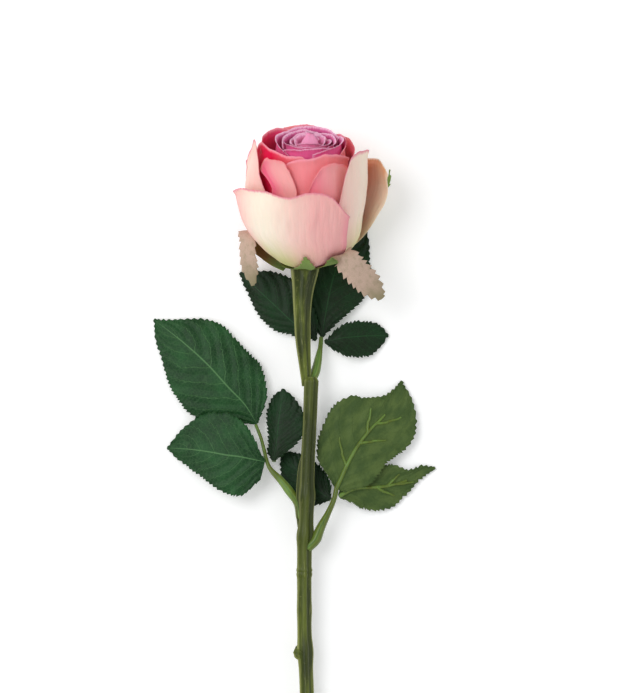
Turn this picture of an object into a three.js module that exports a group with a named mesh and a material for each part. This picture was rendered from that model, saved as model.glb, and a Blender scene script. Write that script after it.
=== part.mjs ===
// An artificial cut rose lying on a table: a half-open bloom, a moulded stem in sections and
// three sprays of three leaflets.
// Millimetres, +Z up. The table is z = 0, +Y runs from the cut end to the flower and +X is the
// flower's right as seen from above. The origin is under the middle of the whole rose.
import * as THREE from 'three';

// ---------------------------------------------------------------- driving dimensions
const STEM_LENGTH = 347;
const CUT_END_HEIGHT = 3.3;
const NECK_HEIGHT = 19.15;
const NECK_X = -1.2;
const JOINT_GAP = 0.3;
const UPPER_NODE_Y = 293;
const SEAM_Y = 195;
const STEM_BENDS = [[0, 0.8], [60, 0.9], [110, 0.5], [150, -0.6], [190, -1.3], [208, -1.2],
  [221, -0.3], [241, 0.2], [271, 1.6], [294, 2.4]];
const NECK_BENDS = [[290, -0.1], [301, -1.1], [311, -2], [331, -2.4], [340, -1.8], [350, -1.3]];

const HEAD_Y = 350.5;
const HEAD_TILT = 22;
const BLOOM_LAYER = 33.4;
const BOWL_FOOT = 0.3;
const BOWL_RISE = 10.5;
const BOWL_CLOSE = 0.17;
const CLOSE_FROM = 33;
const CLOSE_TO = 72;
const BUD_OFFSET = 4.2;
const BELLY_OFFSET = 2.6;
const PETAL_THICKNESS = 0.46;
const MERIDIAN_STEP = 20;

const LEAF_THICKNESS = 0.5;
const SEPAL_THICKNESS = 0.5;

// The finished rose is moved by this much, so that the origin is under its middle.
const CENTRE_X = 5.79;
const CENTRE_Y = -209.02;

// ---------------------------------------------------------------- colours
const MAUVE = 0xc06a92;
const CORAL = 0xee8d90;
const CREAM = 0xf0d6cb;
const SEPAL_BEIGE = 0xb9a38c;
const STEM_GREEN = 0x5f6a34;
const LEAF_DARK = 0x28402b;
const LEAF_GREEN = 0x35603f;
const LEAF_UNDER = 0x5f7850;

const rose = new THREE.Group();
rose.name = 'cut_rose';

// ---------------------------------------------------------------- small helpers
function radians(degrees) {
  return (degrees * Math.PI) / 180;
}

function smooth(from, to, value) {
  const t = Math.min(1, Math.max(0, (value - from) / (to - from)));
  return t * t * (3 - 2 * t);
}

function spline(points) {
  return new THREE.CatmullRomCurve3(points.map((p) => new THREE.Vector3(...p)), false, 'centripetal');
}

// Linear interpolation in a short list of values spread evenly over 0 to 1.
function along(values, t) {
  const place = t * (values.length - 1);
  const index = Math.min(values.length - 2, Math.floor(place));
  return THREE.MathUtils.lerp(values[index], values[index + 1], place - index);
}

function addPart(name, geometry, colour, roughness) {
  const material = new THREE.MeshStandardMaterial({ color: colour, roughness, metalness: 0 });
  const mesh = new THREE.Mesh(geometry, material);
  mesh.name = name;
  mesh.position.set(CENTRE_X, CENTRE_Y, 0);
  rose.add(mesh);
}

// A closed thin solid between two grids of points with the same number of rows and columns.
// Seen from the outer grid's side, columns run to the left as rows run up.
function sheetSolid(inner, outer) {
  const rows = inner.length;
  const columns = inner[0].length;
  const positions = [];
  for (const grid of [outer, inner]) {
    for (const row of grid) {
      for (const point of row) {
        positions.push(point.x, point.y, point.z);
      }
    }
  }
  const back = rows * columns;
  const triangles = [];
  function quad(a, b, c, d) {
    triangles.push(a, c, b, a, d, c);
  }
  for (let row = 0; row + 1 < rows; row += 1) {
    for (let column = 0; column + 1 < columns; column += 1) {
      const a = row * columns + column;
      const b = a + 1;
      const c = b + columns;
      const d = a + columns;
      quad(a, b, c, d);
      quad(back + b, back + a, back + d, back + c);
    }
  }
  for (let column = 0; column + 1 < columns; column += 1) {
    const low = column;
    const high = (rows - 1) * columns + column;
    quad(low + 1, low, back + low, back + low + 1);
    quad(high, high + 1, back + high + 1, back + high);
  }
  for (let row = 0; row + 1 < rows; row += 1) {
    const left = row * columns;
    const right = left + columns - 1;
    quad(left, left + columns, back + left + columns, back + left);
    quad(right + columns, right, back + right, back + right + columns);
  }
  const geometry = new THREE.BufferGeometry();
  geometry.setAttribute('position', new THREE.Float32BufferAttribute(positions, 3));
  geometry.setIndex(triangles);
  geometry.computeVertexNormals();
  return geometry;
}

// A closed tube along a curve. Each ring stands square to the curve and has its own radius.
function taperedTube(curve, radii, rings, sides) {
  const positions = [];
  const triangles = [];
  const up = new THREE.Vector3(0, 0, 1);
  for (let ring = 0; ring <= rings; ring += 1) {
    const t = ring / rings;
    const centre = curve.getPointAt(t);
    const forward = curve.getTangentAt(t);
    const side = new THREE.Vector3().crossVectors(forward, up).normalize();
    const top = new THREE.Vector3().crossVectors(side, forward);
    const radius = along(radii, t);
    for (let step = 0; step < sides; step += 1) {
      const angle = (2 * Math.PI * step) / sides;
      const point = centre.clone();
      point.addScaledVector(side, radius * Math.cos(angle));
      point.addScaledVector(top, radius * Math.sin(angle));
      positions.push(point.x, point.y, point.z);
    }
  }
  for (let ring = 0; ring < rings; ring += 1) {
    for (let step = 0; step < sides; step += 1) {
      const a = ring * sides + step;
      const b = ring * sides + ((step + 1) % sides);
      triangles.push(a, b + sides, b, a, a + sides, b + sides);
    }
  }
  for (let step = 1; step + 1 < sides; step += 1) {
    const end = rings * sides;
    triangles.push(0, step, step + 1);
    triangles.push(end, end + step + 1, end + step);
  }
  const geometry = new THREE.BufferGeometry();
  geometry.setAttribute('position', new THREE.Float32BufferAttribute(positions, 3));
  geometry.setIndex(triangles);
  geometry.computeVertexNormals();
  return geometry;
}

// ---------------------------------------------------------------- stem
function stemHeight(y) {
  return THREE.MathUtils.lerp(CUT_END_HEIGHT, NECK_HEIGHT, y / STEM_LENGTH);
}

// Straight lines between [height along the stem, middle] pairs.
function stemX(y) {
  const bends = y < UPPER_NODE_Y ? STEM_BENDS : NECK_BENDS;
  const after = Math.max(1, bends.findIndex(([height]) => height >= y));
  const [low, start] = bends[after - 1];
  const [high, end] = bends[after];
  return THREE.MathUtils.mapLinear(y, low, high, start, end);
}

function stemPoint(y) {
  return new THREE.Vector3(stemX(y), y, stemHeight(y));
}

function stemSection(name, from, to, radii, rings) {
  const points = [];
  for (let step = 0; step <= 4; step += 1) {
    points.push(stemPoint(THREE.MathUtils.lerp(from, to, step / 4)).toArray());
  }
  addPart(name, taperedTube(spline(points), radii, rings, 12), STEM_GREEN, 0.45);
}

function buildStem() {
  stemSection('stem_base', 0, SEAM_Y - JOINT_GAP, [3.3, 3.2, 3.25, 3.2, 3.3], 10);
  stemSection('stem_middle', SEAM_Y, UPPER_NODE_Y - JOINT_GAP, [3.35, 3.3, 3.2, 3.1, 3.3], 8);
  stemSection('stem_neck', UPPER_NODE_Y, HEAD_Y - 6.6, [3.1, 3.3, 3.9, 4.6, 5.6], 6);
}

// ---------------------------------------------------------------- bloom
// Every petal lies on one family of nested bowls. A layer is the bowl's widest radius, and the
// height runs up the bloom's own axis, which rises from the stem's line by HEAD_TILT. A petal's
// thickness is a difference of layer, so petals on layers further apart than that never meet.
function bowlRadius(layer, height) {
  const rise = BOWL_FOOT + (1 - BOWL_FOOT) * (1 - Math.exp(-height / BOWL_RISE));
  return layer * rise * (1 - BOWL_CLOSE * smooth(CLOSE_FROM, CLOSE_TO, height));
}

function bloomPoint(layer, azimuth, height, flare) {
  const turn = radians(azimuth);
  const radius = bowlRadius(layer, height) + flare;
  const across = radius * Math.cos(turn);
  const lift = radius * Math.sin(turn);
  const bud = BUD_OFFSET * (1 - layer / BLOOM_LAYER) * (height / CLOSE_TO);
  const belly = BELLY_OFFSET * smooth(0, 6, height) * (1 - smooth(10, 26, height));
  const tilt = radians(HEAD_TILT);
  return new THREE.Vector3(
    NECK_X + bud + belly + across,
    HEAD_Y + height * Math.cos(tilt) - lift * Math.sin(tilt),
    NECK_HEIGHT + height * Math.sin(tilt) + lift * Math.cos(tilt),
  );
}

// Heights of a petal's rows. The lower ones are shared by all petals, so that the bowls nest.
const SHARED_ROWS = [0.6, 2, 5, 9, 15, 24];
const UPPER_ROWS = 3;

function rowHeights(foot, rim) {
  const heights = SHARED_ROWS.filter((height) => height >= foot);
  const last = SHARED_ROWS[SHARED_ROWS.length - 1];
  for (let row = 1; row <= UPPER_ROWS; row += 1) {
    heights.push(THREE.MathUtils.lerp(last, rim, row / UPPER_ROWS));
  }
  return heights;
}

// How much of a petal's flare it has at a height. bend gives the heights where it starts and ends.
function flareAt(shape, height) {
  const [start, end] = shape.bend ?? [0.4 * shape.rim, 1.05 * shape.rim];
  return smooth(start, end, height);
}

// from and to are the petal's edges in degrees round the bloom, anticlockwise from its right
// side, with 90 on top. The rim falls away to each edge, and flare bends it outward.
function petal(name, shape, colour) {
  const { from, to, layer, twist = 0, foot = 2, rim, fallFrom = 10, fallTo = 10 } = shape;
  const { flareFrom = 0, flareTo = flareFrom } = shape;
  const inner = [];
  const outer = [];
  for (const side of [inner, outer]) {
    const shift = side === inner ? -PETAL_THICKNESS / 2 : PETAL_THICKNESS / 2;
    const columns = [];
    for (let azimuth = from; azimuth <= to; azimuth += MERIDIAN_STEP) {
      const across = (2 * (azimuth - from)) / (to - from) - 1;
      const fall = across < 0 ? fallFrom : fallTo;
      const edge = rim - fall * Math.abs(across) ** 2.6;
      const place = layer + twist * across + shift;
      const flare = THREE.MathUtils.lerp(flareFrom, flareTo, (across + 1) / 2);
      const column = rowHeights(foot, edge).map((height) => {
        return bloomPoint(place, azimuth, height, flare * flareAt(shape, height));
      });
      columns.push(column);
    }
    for (let row = 0; row < columns[0].length; row += 1) {
      side.push(columns.map((column) => column[row]));
    }
  }
  addPart(name, sheetSolid(inner, outer), colour, 0.85);
}

// A ring of like petals, each a pitch further out than the one before.
function petalRing(name, ring, shape, colour) {
  const spacing = Math.round(360 / ring.count / MERIDIAN_STEP) * MERIDIAN_STEP;
  for (let index = 0; index < ring.count; index += 1) {
    const from = ring.first + index * spacing;
    const place = { from, to: from + shape.span, layer: shape.layer + ring.pitch * index };
    petal(`${name}_${index + 1}`, { ...shape, ...place }, colour);
  }
}

const CORAL_PETALS = {
  coral_petal_under: { from: 220, to: 320, layer: 21, rim: 66, fallFrom: 6, fallTo: 6 },
  coral_petal_side: { from: -60, to: 40, layer: 21.9, rim: 65, fallFrom: 6, fallTo: 6 },
  coral_petal_back: { from: 160, to: 260, layer: 22.8, rim: 65.5, fallFrom: 6, fallTo: 6 },
  coral_petal_left: { from: 80, to: 180, layer: 23.7, rim: 65, fallFrom: 12, fallTo: 4 },
  coral_petal_right: { from: 20, to: 120, layer: 24.7, rim: 64.5, fallFrom: 5, fallTo: 6 },
};

const BLUSH_PETALS = {
  blush_petal_back: { from: 200, to: 300, layer: 26, rim: 64, fallFrom: 6, fallTo: 6 },
  blush_petal_side: { from: -80, to: 20, layer: 26.9, rim: 62, fallFrom: 8, fallTo: 4 },
  blush_petal_left: { from: 100, to: 180, layer: 27.7, rim: 61, fallFrom: 6, fallTo: 12 },
  blush_petal_right: { from: 20, to: 100, layer: 28.6, rim: 60.5, fallFrom: 8, fallTo: 20 },
};

const GUARD_PETALS = {
  guard_petal_under: { from: 220, to: 320, layer: 29, rim: 58, fallFrom: 8, fallTo: 8 },
  guard_petal_left: { from: 120, to: 220, layer: 29.9, rim: 64, fallFrom: 20, fallTo: 12 },
  guard_petal_outer: {
    from: 200, to: 280, layer: 30.9, rim: 51, fallFrom: 6, fallTo: 8, flareFrom: 2.4, flareTo: 0,
  },
  guard_petal_right: {
    from: -20, to: 60, layer: 31.2, rim: 62, fallFrom: 7, fallTo: 14, flareFrom: 4, flareTo: 1,
  },
  guard_petal_wing: {
    from: -80, to: 0, layer: 32.2, rim: 45, fallFrom: 7, fallTo: 4, flareTo: 13, bend: [4, 38],
  },
  guard_petal_front: {
    from: 40, to: 200, layer: 33.4, rim: 49.5, fallFrom: 3, fallTo: 9, flareFrom: 1.6,
  },
};

const BUD_PETAL = {
  from: -80, to: 340, layer: 3.1, twist: 0.75, foot: 24, rim: 66.5, fallFrom: 2, fallTo: 6,
};
const HEART_PETAL = { span: 140, layer: 5.3, foot: 15, rim: 69.5, fallFrom: 5, fallTo: 3 };
const INNER_PETAL = { span: 140, layer: 8.6, foot: 9, rim: 64, fallFrom: 5, fallTo: 3 };
const WHORL_PETAL = { span: 140, layer: 12.2, foot: 9, rim: 67.5, fallFrom: 6, fallTo: 4 };
const MAUVE_PETAL = { span: 120, layer: 16, foot: 5, rim: 66.5, fallFrom: 7, fallTo: 5 };

function buildBloom() {
  petal('bud_petal', BUD_PETAL, MAUVE);
  petalRing('heart_petal', { count: 3, first: 20, pitch: 0.85 }, HEART_PETAL, MAUVE);
  petalRing('inner_petal', { count: 3, first: 80, pitch: 0.95 }, INNER_PETAL, MAUVE);
  petalRing('whorl_petal', { count: 3, first: 40, pitch: 1.05 }, WHORL_PETAL, MAUVE);
  petalRing('mauve_petal', { count: 4, first: 20, pitch: 1.05 }, MAUVE_PETAL, MAUVE);
  for (const [name, shape] of Object.entries(CORAL_PETALS)) {
    petal(name, { foot: 5, ...shape }, CORAL);
  }
  for (const [name, shape] of Object.entries(BLUSH_PETALS)) {
    petal(name, { foot: 2, ...shape }, CORAL);
  }
  for (const [name, shape] of Object.entries(GUARD_PETALS)) {
    petal(name, { foot: 0.6, ...shape }, CREAM);
  }
}

// ---------------------------------------------------------------- calyx and sepals
function buildCalyx() {
  const profile = [
    [0, -4],
    [5.4, -4],
    [7, -2.6],
    [9.2, -1.2],
    [12.4, -0.2],
    [12.6, 0.3],
    [0, 0.3],
  ].map(([radius, height]) => new THREE.Vector2(radius, height));
  const cup = new THREE.LatheGeometry(profile, 18);
  cup.rotateX(radians(HEAD_TILT));
  cup.translate(NECK_X, HEAD_Y, NECK_HEIGHT);
  addPart('calyx', cup, STEM_GREEN, 0.6);
}

// A strip whose middle follows a curve. sides point to its left edge as it runs from its root to
// its tip, and widths are the full widths at even steps along it.
function sepal(name, middle, sides, widths) {
  const curve = spline(middle);
  const lower = [];
  const upper = [];
  const stations = 10;
  for (let station = 0; station <= stations; station += 1) {
    const t = station / stations;
    const centre = curve.getPointAt(t);
    const forward = curve.getTangentAt(t);
    const side = new THREE.Vector3(
      along(sides.map((vector) => vector[0]), t),
      along(sides.map((vector) => vector[1]), t),
      along(sides.map((vector) => vector[2]), t),
    );
    side.addScaledVector(forward, -side.dot(forward)).normalize();
    const normal = new THREE.Vector3().crossVectors(forward, side);
    const half = along(widths, t) / 2;
    const low = [];
    const high = [];
    for (const reach of [-1, 0, 1]) {
      const point = centre.clone().addScaledVector(side, half * reach);
      high.push(point.clone().addScaledVector(normal, SEPAL_THICKNESS / 2));
      low.push(point.clone().addScaledVector(normal, -SEPAL_THICKNESS / 2));
    }
    lower.push(low);
    upper.push(high);
  }
  addPart(name, sheetSolid(lower, upper), SEPAL_BEIGE, 0.85);
}

// Points of a sepal's middle on the outside of the bowl, with the direction across it at each.
function onBowl(azimuth, heights, gap, flareOf = () => 0) {
  function place(turn, height) {
    return bloomPoint(BLOOM_LAYER + gap, turn, height, flareOf(turn, height));
  }
  const middle = heights.map((height) => place(azimuth, height).toArray());
  const sides = heights.map((height) => {
    return place(azimuth + 6, height).sub(place(azimuth - 6, height)).normalize().toArray();
  });
  return { middle, sides };
}

// Each sepal leaves the calyx and follows the bowl of the outer petals. Two of them then fold
// outward and hang down.
function buildSepals() {
  sepal(
    'sepal_left',
    [[-15.4, 349, 16.6], [-20.6, 352.8, 16.8], [-26.6, 358.6, 17.4], [-30.8, 364, 20.6],
      [-32.7, 365.5, 25.2], [-32, 361.8, 29.6], [-29.8, 354, 29.4], [-27.8, 346, 26.4], [-26.2, 338.2, 23.4]],
    [[-0.2, -0.5, 1], [-0.3, -0.5, 1], [-0.7, -0.3, 0.8], [-1, -0.1, 0.3], [-1, 0, -0.1],
      [-0.9, 0, -0.4], [-0.9, 0, -0.4], [-1, 0, -0.2], [-1, 0, 0]],
    [6, 8, 8.6, 8.6, 8.8, 9, 9, 8.4, 2],
  );
  const right = onBowl(58, [1.2, 6, 11], 2.1);
  sepal(
    'sepal_right',
    [...right.middle, [18.6, 353, 47], [23, 347.6, 45.4], [31, 339.4, 39.4], [38.2, 331.8, 33.6]],
    [...right.sides, [-0.95, -0.2, 0.1], [-0.6, -0.8, 0], [-0.6, -0.8, 0], [-0.7, -0.7, 0]],
    [6.5, 9, 12, 13.6, 14, 12.5, 4],
  );
  const front = onBowl(93, [1, 5, 9, 13.5], 1.9);
  sepal('sepal_front', front.middle, front.sides, [9.5, 9.5, 6, 1]);
  const wing = GUARD_PETALS.guard_petal_wing;
  const backRight = onBowl(-32, [1, 7, 14, 22, 30, 39], 0.8, (turn, height) => {
    const share = (turn - wing.from) / (wing.to - wing.from);
    return wing.flareTo * share * flareAt(wing, height);
  });
  sepal('sepal_back_right', backRight.middle, backRight.sides, [6.5, 8.5, 9, 8, 5.5, 1]);
  const backLeft = onBowl(238, [1, 6, 11, 17, 24], 1);
  sepal('sepal_back_left', backLeft.middle, backLeft.sides, [6.5, 8.5, 8, 5.5, 1]);
}

// ---------------------------------------------------------------- leaf sprays
// A leaflet is a thin solid round its midrib. left and right are its half widths at even steps from
// base to tip, seen from above. roll lifts the left edge, and cup lets both edges fall below the
// midrib.
function leaflet(name, shape) {
  const { midrib, left, right, roll = 0, cup = 0.08, colour = LEAF_DARK } = shape;
  const curve = spline(midrib);
  const lower = [];
  const upper = [];
  const stations = 8;
  for (let station = 0; station <= stations; station += 1) {
    const t = station / stations;
    const centre = curve.getPointAt(t);
    const forward = curve.getTangentAt(t);
    const side = new THREE.Vector3(-forward.y, forward.x, 0).normalize();
    side.applyAxisAngle(forward, -radians(roll));
    const normal = new THREE.Vector3().crossVectors(forward, side);
    const low = [];
    const high = [];
    for (const reach of [-1, -0.5, 0, 0.5, 1]) {
      const half = along(reach < 0 ? right : left, t);
      const point = centre.clone().addScaledVector(side, reach * half);
      point.addScaledVector(normal, -cup * half * reach * reach);
      high.push(point.clone().addScaledVector(normal, LEAF_THICKNESS / 2));
      low.push(point.clone().addScaledVector(normal, -LEAF_THICKNESS / 2));
    }
    lower.push(low);
    upper.push(high);
  }
  addPart(name, sheetSolid(lower, upper), colour, 0.75);
}

const LEAFLETS = {
  leaf_upper_left: {
    midrib: [[5.2, 311, 6], [-5, 318.5, 5.6], [-18, 330.5, 4.2], [-33.2, 344.7, 0.9]],
    left: [0.5, 3, 6.5, 9.5, 10, 9, 6, 3, 0.4],
    right: [0.5, 9, 13, 15, 16, 15, 12, 6, 0.4],
    roll: 8,
  },
  leaf_upper_right: {
    midrib: [[8, 312.6, 5.4], [9.4, 321, 5], [11, 330.5, 4.2], [14, 343.5, 3], [19, 355.5, 1.9],
      [30, 368, 0.7]],
    left: [0.5, 9, 11.5, 13, 13.5, 11.5, 8, 4.5, 0.4],
    right: [0.5, 6.5, 12.5, 17.5, 19.5, 19, 16, 9, 0.4],
    roll: 2,
  },
  leaf_upper_side: {
    midrib: [[9.2, 310, 6.8], [18, 312, 7.6], [27, 312.9, 6], [34, 313.2, 3.6], [41.3, 313.3, 0.9]],
    left: [0.5, 3, 6, 7.5, 8, 7.5, 7, 5, 0.4],
    right: [0.5, 5.5, 9, 10, 10.5, 10.5, 9.5, 5.5, 0.4],
  },
  leaf_left_big: {
    midrib: [[-24.6, 269, 7], [-30.5, 278.5, 7.2], [-39.5, 288, 7], [-49.5, 299, 5.6], [-62, 310.2, 3.4],
      [-76.25, 321.3, 0.9]],
    left: [0.6, 15.5, 20, 23.5, 23, 21, 15.5, 9, 0.4],
    right: [0.6, 13.5, 19, 19.5, 19, 19.5, 15.5, 6.5, 0.4],
    cup: 0.12,
    colour: LEAF_GREEN,
  },
  leaf_left_low: {
    midrib: [[-20.6, 249.4, 13], [-24.5, 251, 13.8], [-32.5, 252.6, 13.8], [-40.5, 253.6, 12.4],
      [-50.5, 255.3, 9.4], [-60, 256.4, 5], [-69.6, 256.9, 0.9]],
    left: [1, 17.5, 19.5, 18.5, 15.5, 12.5, 9.5, 5.5, 0.4],
    right: [0.6, 9, 17, 20.5, 21, 19.5, 15.5, 8.5, 0.4],
    cup: 0.05,
    colour: LEAF_GREEN,
  },
  leaf_left_inner: {
    midrib: [[-16.4, 250.6, 10.4], [-15, 258, 8], [-13.6, 271, 5.6], [-11.4, 286.6, 3]],
    left: [0.6, 4, 4.5, 5, 6, 7, 6.5, 4.5, 0.4],
    right: [0.6, 5, 10, 13, 14.5, 13.5, 10.5, 6, 0.4],
    roll: 16,
  },
  leaf_right_big: {
    midrib: [[15, 236.6, 9.6], [17.6, 242, 9.8], [20.75, 248.9, 9.6], [26.2, 258.5, 8.6], [32.8, 266.8, 7.2],
      [38.7, 272.6, 5.8], [44, 280.2, 3.8], [48.1, 290.5, 0.9]],
    left: [0.6, 13, 18.5, 20.5, 22, 17.5, 10.5, 4, 0.4],
    right: [0.6, 10, 14.5, 16.5, 18.5, 19.5, 17, 9, 0.4],
    roll: -3,
    cup: 0.02,
    colour: LEAF_UNDER,
  },
  leaf_right_low: {
    midrib: [[16.4, 232.8, 8.4], [22.8, 236.2, 6.8], [28, 237.2, 6], [34.5, 237.3, 5], [41.2, 238, 3.8],
      [50.3, 240.6, 2.4], [64.75, 247, 0.9]],
    left: [0.6, 3.5, 6.5, 9, 10.5, 10, 5, 4, 0.4],
    right: [1, 9, 11, 12, 11.5, 8, 4, 1.5, 0.4],
    roll: -6,
    cup: 0.03,
    colour: LEAF_UNDER,
  },
  leaf_right_inner: {
    midrib: [[12.2, 231.2, 7.4], [4, 237, 5.2], [-4, 245, 3.4], [-11.5, 255, 2]],
    left: [0.6, 6, 9, 10, 10, 9, 7.5, 4.5, 0.4],
    right: [0.6, 6, 9, 10, 10, 9, 7.5, 4.5, 0.4],
  },
};

const PETIOLES = {
  petiole_upper: {
    path: [[4.8, 294, 12.6], [6.6, 301, 9.4], [7.2, 310.4, 6.6]],
    radii: [1.7, 1.2, 1],
  },
  petiole_left: {
    path: [[-5.9, 233, 13.4], [-10.5, 239.5, 13], [-18.2, 248.4, 11.4], [-22, 258.6, 8.6],
      [-24.2, 267.4, 7.2]],
    radii: [2.2, 1.7, 1.2, 1, 0.9],
  },
  petiole_right: {
    path: [[4.8, 210.8, 12.6], [7.6, 217.3, 12], [11.2, 223.8, 11], [14.2, 231, 10.2], [14.7, 235.4, 9.8]],
    radii: [2, 1.9, 1.3, 1.1, 1],
  },
};

function buildSprays() {
  for (const [name, { path, radii }] of Object.entries(PETIOLES)) {
    addPart(name, taperedTube(spline(path), radii, 10, 8), STEM_GREEN, 0.5);
  }
  for (const [name, shape] of Object.entries(LEAFLETS)) {
    leaflet(name, shape);
  }
}

buildStem();
buildBloom();
buildCalyx();
buildSepals();
buildSprays();

export default rose;
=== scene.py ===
import math

import bpy
import numpy as np
from bpy.props import FloatProperty, FloatVectorProperty, IntProperty, PointerProperty
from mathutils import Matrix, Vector


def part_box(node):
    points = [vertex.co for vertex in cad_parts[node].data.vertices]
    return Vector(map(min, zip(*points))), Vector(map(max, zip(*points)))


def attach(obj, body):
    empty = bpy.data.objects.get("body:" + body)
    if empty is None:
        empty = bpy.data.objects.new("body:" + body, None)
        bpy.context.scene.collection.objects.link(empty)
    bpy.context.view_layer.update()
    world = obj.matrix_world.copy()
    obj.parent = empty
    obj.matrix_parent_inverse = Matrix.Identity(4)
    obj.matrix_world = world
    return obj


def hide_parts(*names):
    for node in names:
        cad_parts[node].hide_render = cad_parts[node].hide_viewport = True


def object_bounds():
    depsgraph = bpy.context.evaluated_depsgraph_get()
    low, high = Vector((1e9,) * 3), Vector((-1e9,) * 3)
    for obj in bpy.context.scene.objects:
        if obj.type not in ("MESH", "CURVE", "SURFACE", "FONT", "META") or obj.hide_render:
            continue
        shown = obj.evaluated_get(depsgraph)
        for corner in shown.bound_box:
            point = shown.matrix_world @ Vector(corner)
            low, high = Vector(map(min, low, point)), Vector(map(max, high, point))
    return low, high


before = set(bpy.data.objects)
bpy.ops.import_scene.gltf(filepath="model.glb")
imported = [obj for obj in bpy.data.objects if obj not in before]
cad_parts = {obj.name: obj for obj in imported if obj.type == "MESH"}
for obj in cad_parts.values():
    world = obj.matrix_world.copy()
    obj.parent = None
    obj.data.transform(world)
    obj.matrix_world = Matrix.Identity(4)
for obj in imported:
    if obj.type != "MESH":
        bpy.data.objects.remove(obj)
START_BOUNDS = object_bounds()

bl_info = {
    "name": "Artificial Cut Rose",
    "version": (1, 0, 0),
    "blender": (4, 5, 0),
    "location": "View3D > Sidebar > Rose",
    "description": "Builds the cloth bloom, sepals, moulded stem and leaf sprays of a cut rose",
    "category": "Object",
}

MM = 0.001
BODY = "root"

# ------------------------------------------------------------------ the shared shape rules
# Lengths are millimetres in the stem's own frame: the cut end is at y = 0 and the table at z = 0.
# CALYX_CORNER is the low corner of the calyx's box in that frame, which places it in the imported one.
CALYX_CORNER = Vector((-13.608, 344.77, 7.578))
NECK = (-1.2, 350.5, 19.15)
STEM_LENGTH = 347.0
CUT_END_HEIGHT = 3.3
UPPER_NODE_Y = 293.0
SEAM_Y = 195.0
HEAD_TILT = math.radians(22)
BLOOM_LAYER = 33.4
BOWL_FOOT = 0.3
BOWL_RISE = 10.5
BOWL_CLOSE = 0.17
CLOSE_FROM = 33
CLOSE_TO = 72
BUD_OFFSET = 4.2
BELLY_OFFSET = 2.6

# How far the stem wanders sideways: heights along it, and its middle at each one.
STEM_HEIGHTS = [0, 60, 110, 136, 150, 165, 190, 208, 221, 241, 255, 271, 284, 293]
STEM_MIDDLES = [0.8, 0.9, 0.5, 0, -0.6, -1.2, -1.3, -1.2, -0.3, 0.2, 0.7, 1.6, 2.0, 2.4]
NECK_HEIGHTS = [287, 301, 311, 321, 331, 340, 349]
NECK_MIDDLES = [0.2, -1.1, -2.0, -2.3, -2.4, -1.8, -1.3]
NECK_START = UPPER_NODE_Y - 5

# Thickness and mesh of the cloth pieces.
CLOTH = 0.4
SEPAL_HALF = 0.22
LEAF_HALF = 0.24
PETAL_ROWS = 38
SEPAL_ROWS, SEPAL_COLUMNS = 120, 17
LEAF_COLUMNS, ROWS_PER_TOOTH = 33, 5
# How far side veins lean forward by a leaf's edge, as a share of its length, and how they curve.
VEIN_LEAN, VEIN_CURVE = 0.36, 1.25

# The camera looks down from far off, so that near and far parts are the same size.
CAMERA_LENS, CAMERA_SENSOR = 600, 36
CAMERA_AIM = (4.5, 307.75, 15)
FLOOR_HALF = 3.0
FLOOR_DROP = 0.0002


def smooth(start, end, value):
    t = np.clip((value - start) / (end - start), 0.0, 1.0)
    return t * t * (3 - 2 * t)


def along(values, t):
    """Straight-line values at even steps, read at t from 0 to 1."""
    return np.interp(t, np.linspace(0, 1, len(values)), values)


def eased(values, t):
    """As along, with rounded corners."""
    values = np.asarray(values, float)
    place = np.clip(np.asarray(t, float), 0, 1) * (len(values) - 1)
    index = np.minimum(place.astype(int), len(values) - 2)
    f = place - index
    before = values[np.maximum(index - 1, 0)]
    after = values[np.minimum(index + 2, len(values) - 1)]
    a, b = values[index], values[index + 1]
    slope_a, slope_b = (b - before) / 2, (after - a) / 2
    return (
        (2 * f**3 - 3 * f**2 + 1) * a
        + (f**3 - 2 * f**2 + f) * slope_a
        + (3 * f**2 - 2 * f**3) * b
        + (f**3 - f**2) * slope_b
    )


def spline(points, t):
    points = np.asarray(points, float)
    chords = np.linalg.norm(np.diff(points, axis=0), axis=1)
    knots = np.concatenate([[0], np.cumsum(chords)]) / chords.sum()
    place = np.interp(t, knots, np.linspace(0, 1, len(points)))
    return np.stack([eased(points[:, k], place) for k in range(3)], axis=-1)


def unit(vectors):
    return vectors / np.maximum(np.linalg.norm(vectors, axis=-1, keepdims=True), 1e-9)


def ripple(u, rng, waves, start=1.0):
    """A smooth random line over u, about 1 at its largest."""
    total = np.zeros_like(u)
    for wave in range(waves):
        turns = start + wave
        total += np.sin(math.pi * turns * u + rng.uniform(0, 6.28)) * rng.uniform(0.5, 1) / (1 + wave)
    return total / 1.6


def crumple(u, v, rng, across, along_rows):
    """Soft random lumps over a grid, between about -1 and 1."""
    lumps = rng.uniform(-1, 1, (along_rows, across))
    rows = np.stack([eased(lumps[k], (u + 1) / 2) for k in range(along_rows)])
    return np.stack([eased(rows[:, k], v) for k in range(len(u))], axis=1)


def bowl_radius(layer, height):
    rise = BOWL_FOOT + (1 - BOWL_FOOT) * (1 - np.exp(-height / BOWL_RISE))
    return layer * rise * (1 - BOWL_CLOSE * smooth(CLOSE_FROM, CLOSE_TO, height))


def bloom_points(layer, azimuth, height, flare):
    turn = np.radians(azimuth)
    radius = bowl_radius(layer, height) + flare
    lift = radius * np.sin(turn)
    bud = BUD_OFFSET * (1 - layer / BLOOM_LAYER) * (height / CLOSE_TO)
    belly = BELLY_OFFSET * smooth(0, 6, height) * (1 - smooth(10, 26, height))
    x = NECK[0] + bud + belly + radius * np.cos(turn)
    y = NECK[1] + height * math.cos(HEAD_TILT) - lift * math.sin(HEAD_TILT)
    z = NECK[2] + height * math.sin(HEAD_TILT) + lift * math.cos(HEAD_TILT)
    return np.stack(np.broadcast_arrays(x, y, z), axis=-1)


# ------------------------------------------------------------------ meshes
def placed(points):
    """Millimetres in the stem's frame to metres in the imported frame."""
    shift = np.array(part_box("calyx")[0]) / MM - np.array(CALYX_CORNER)
    return (np.asarray(points, float) + shift) * MM


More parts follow.
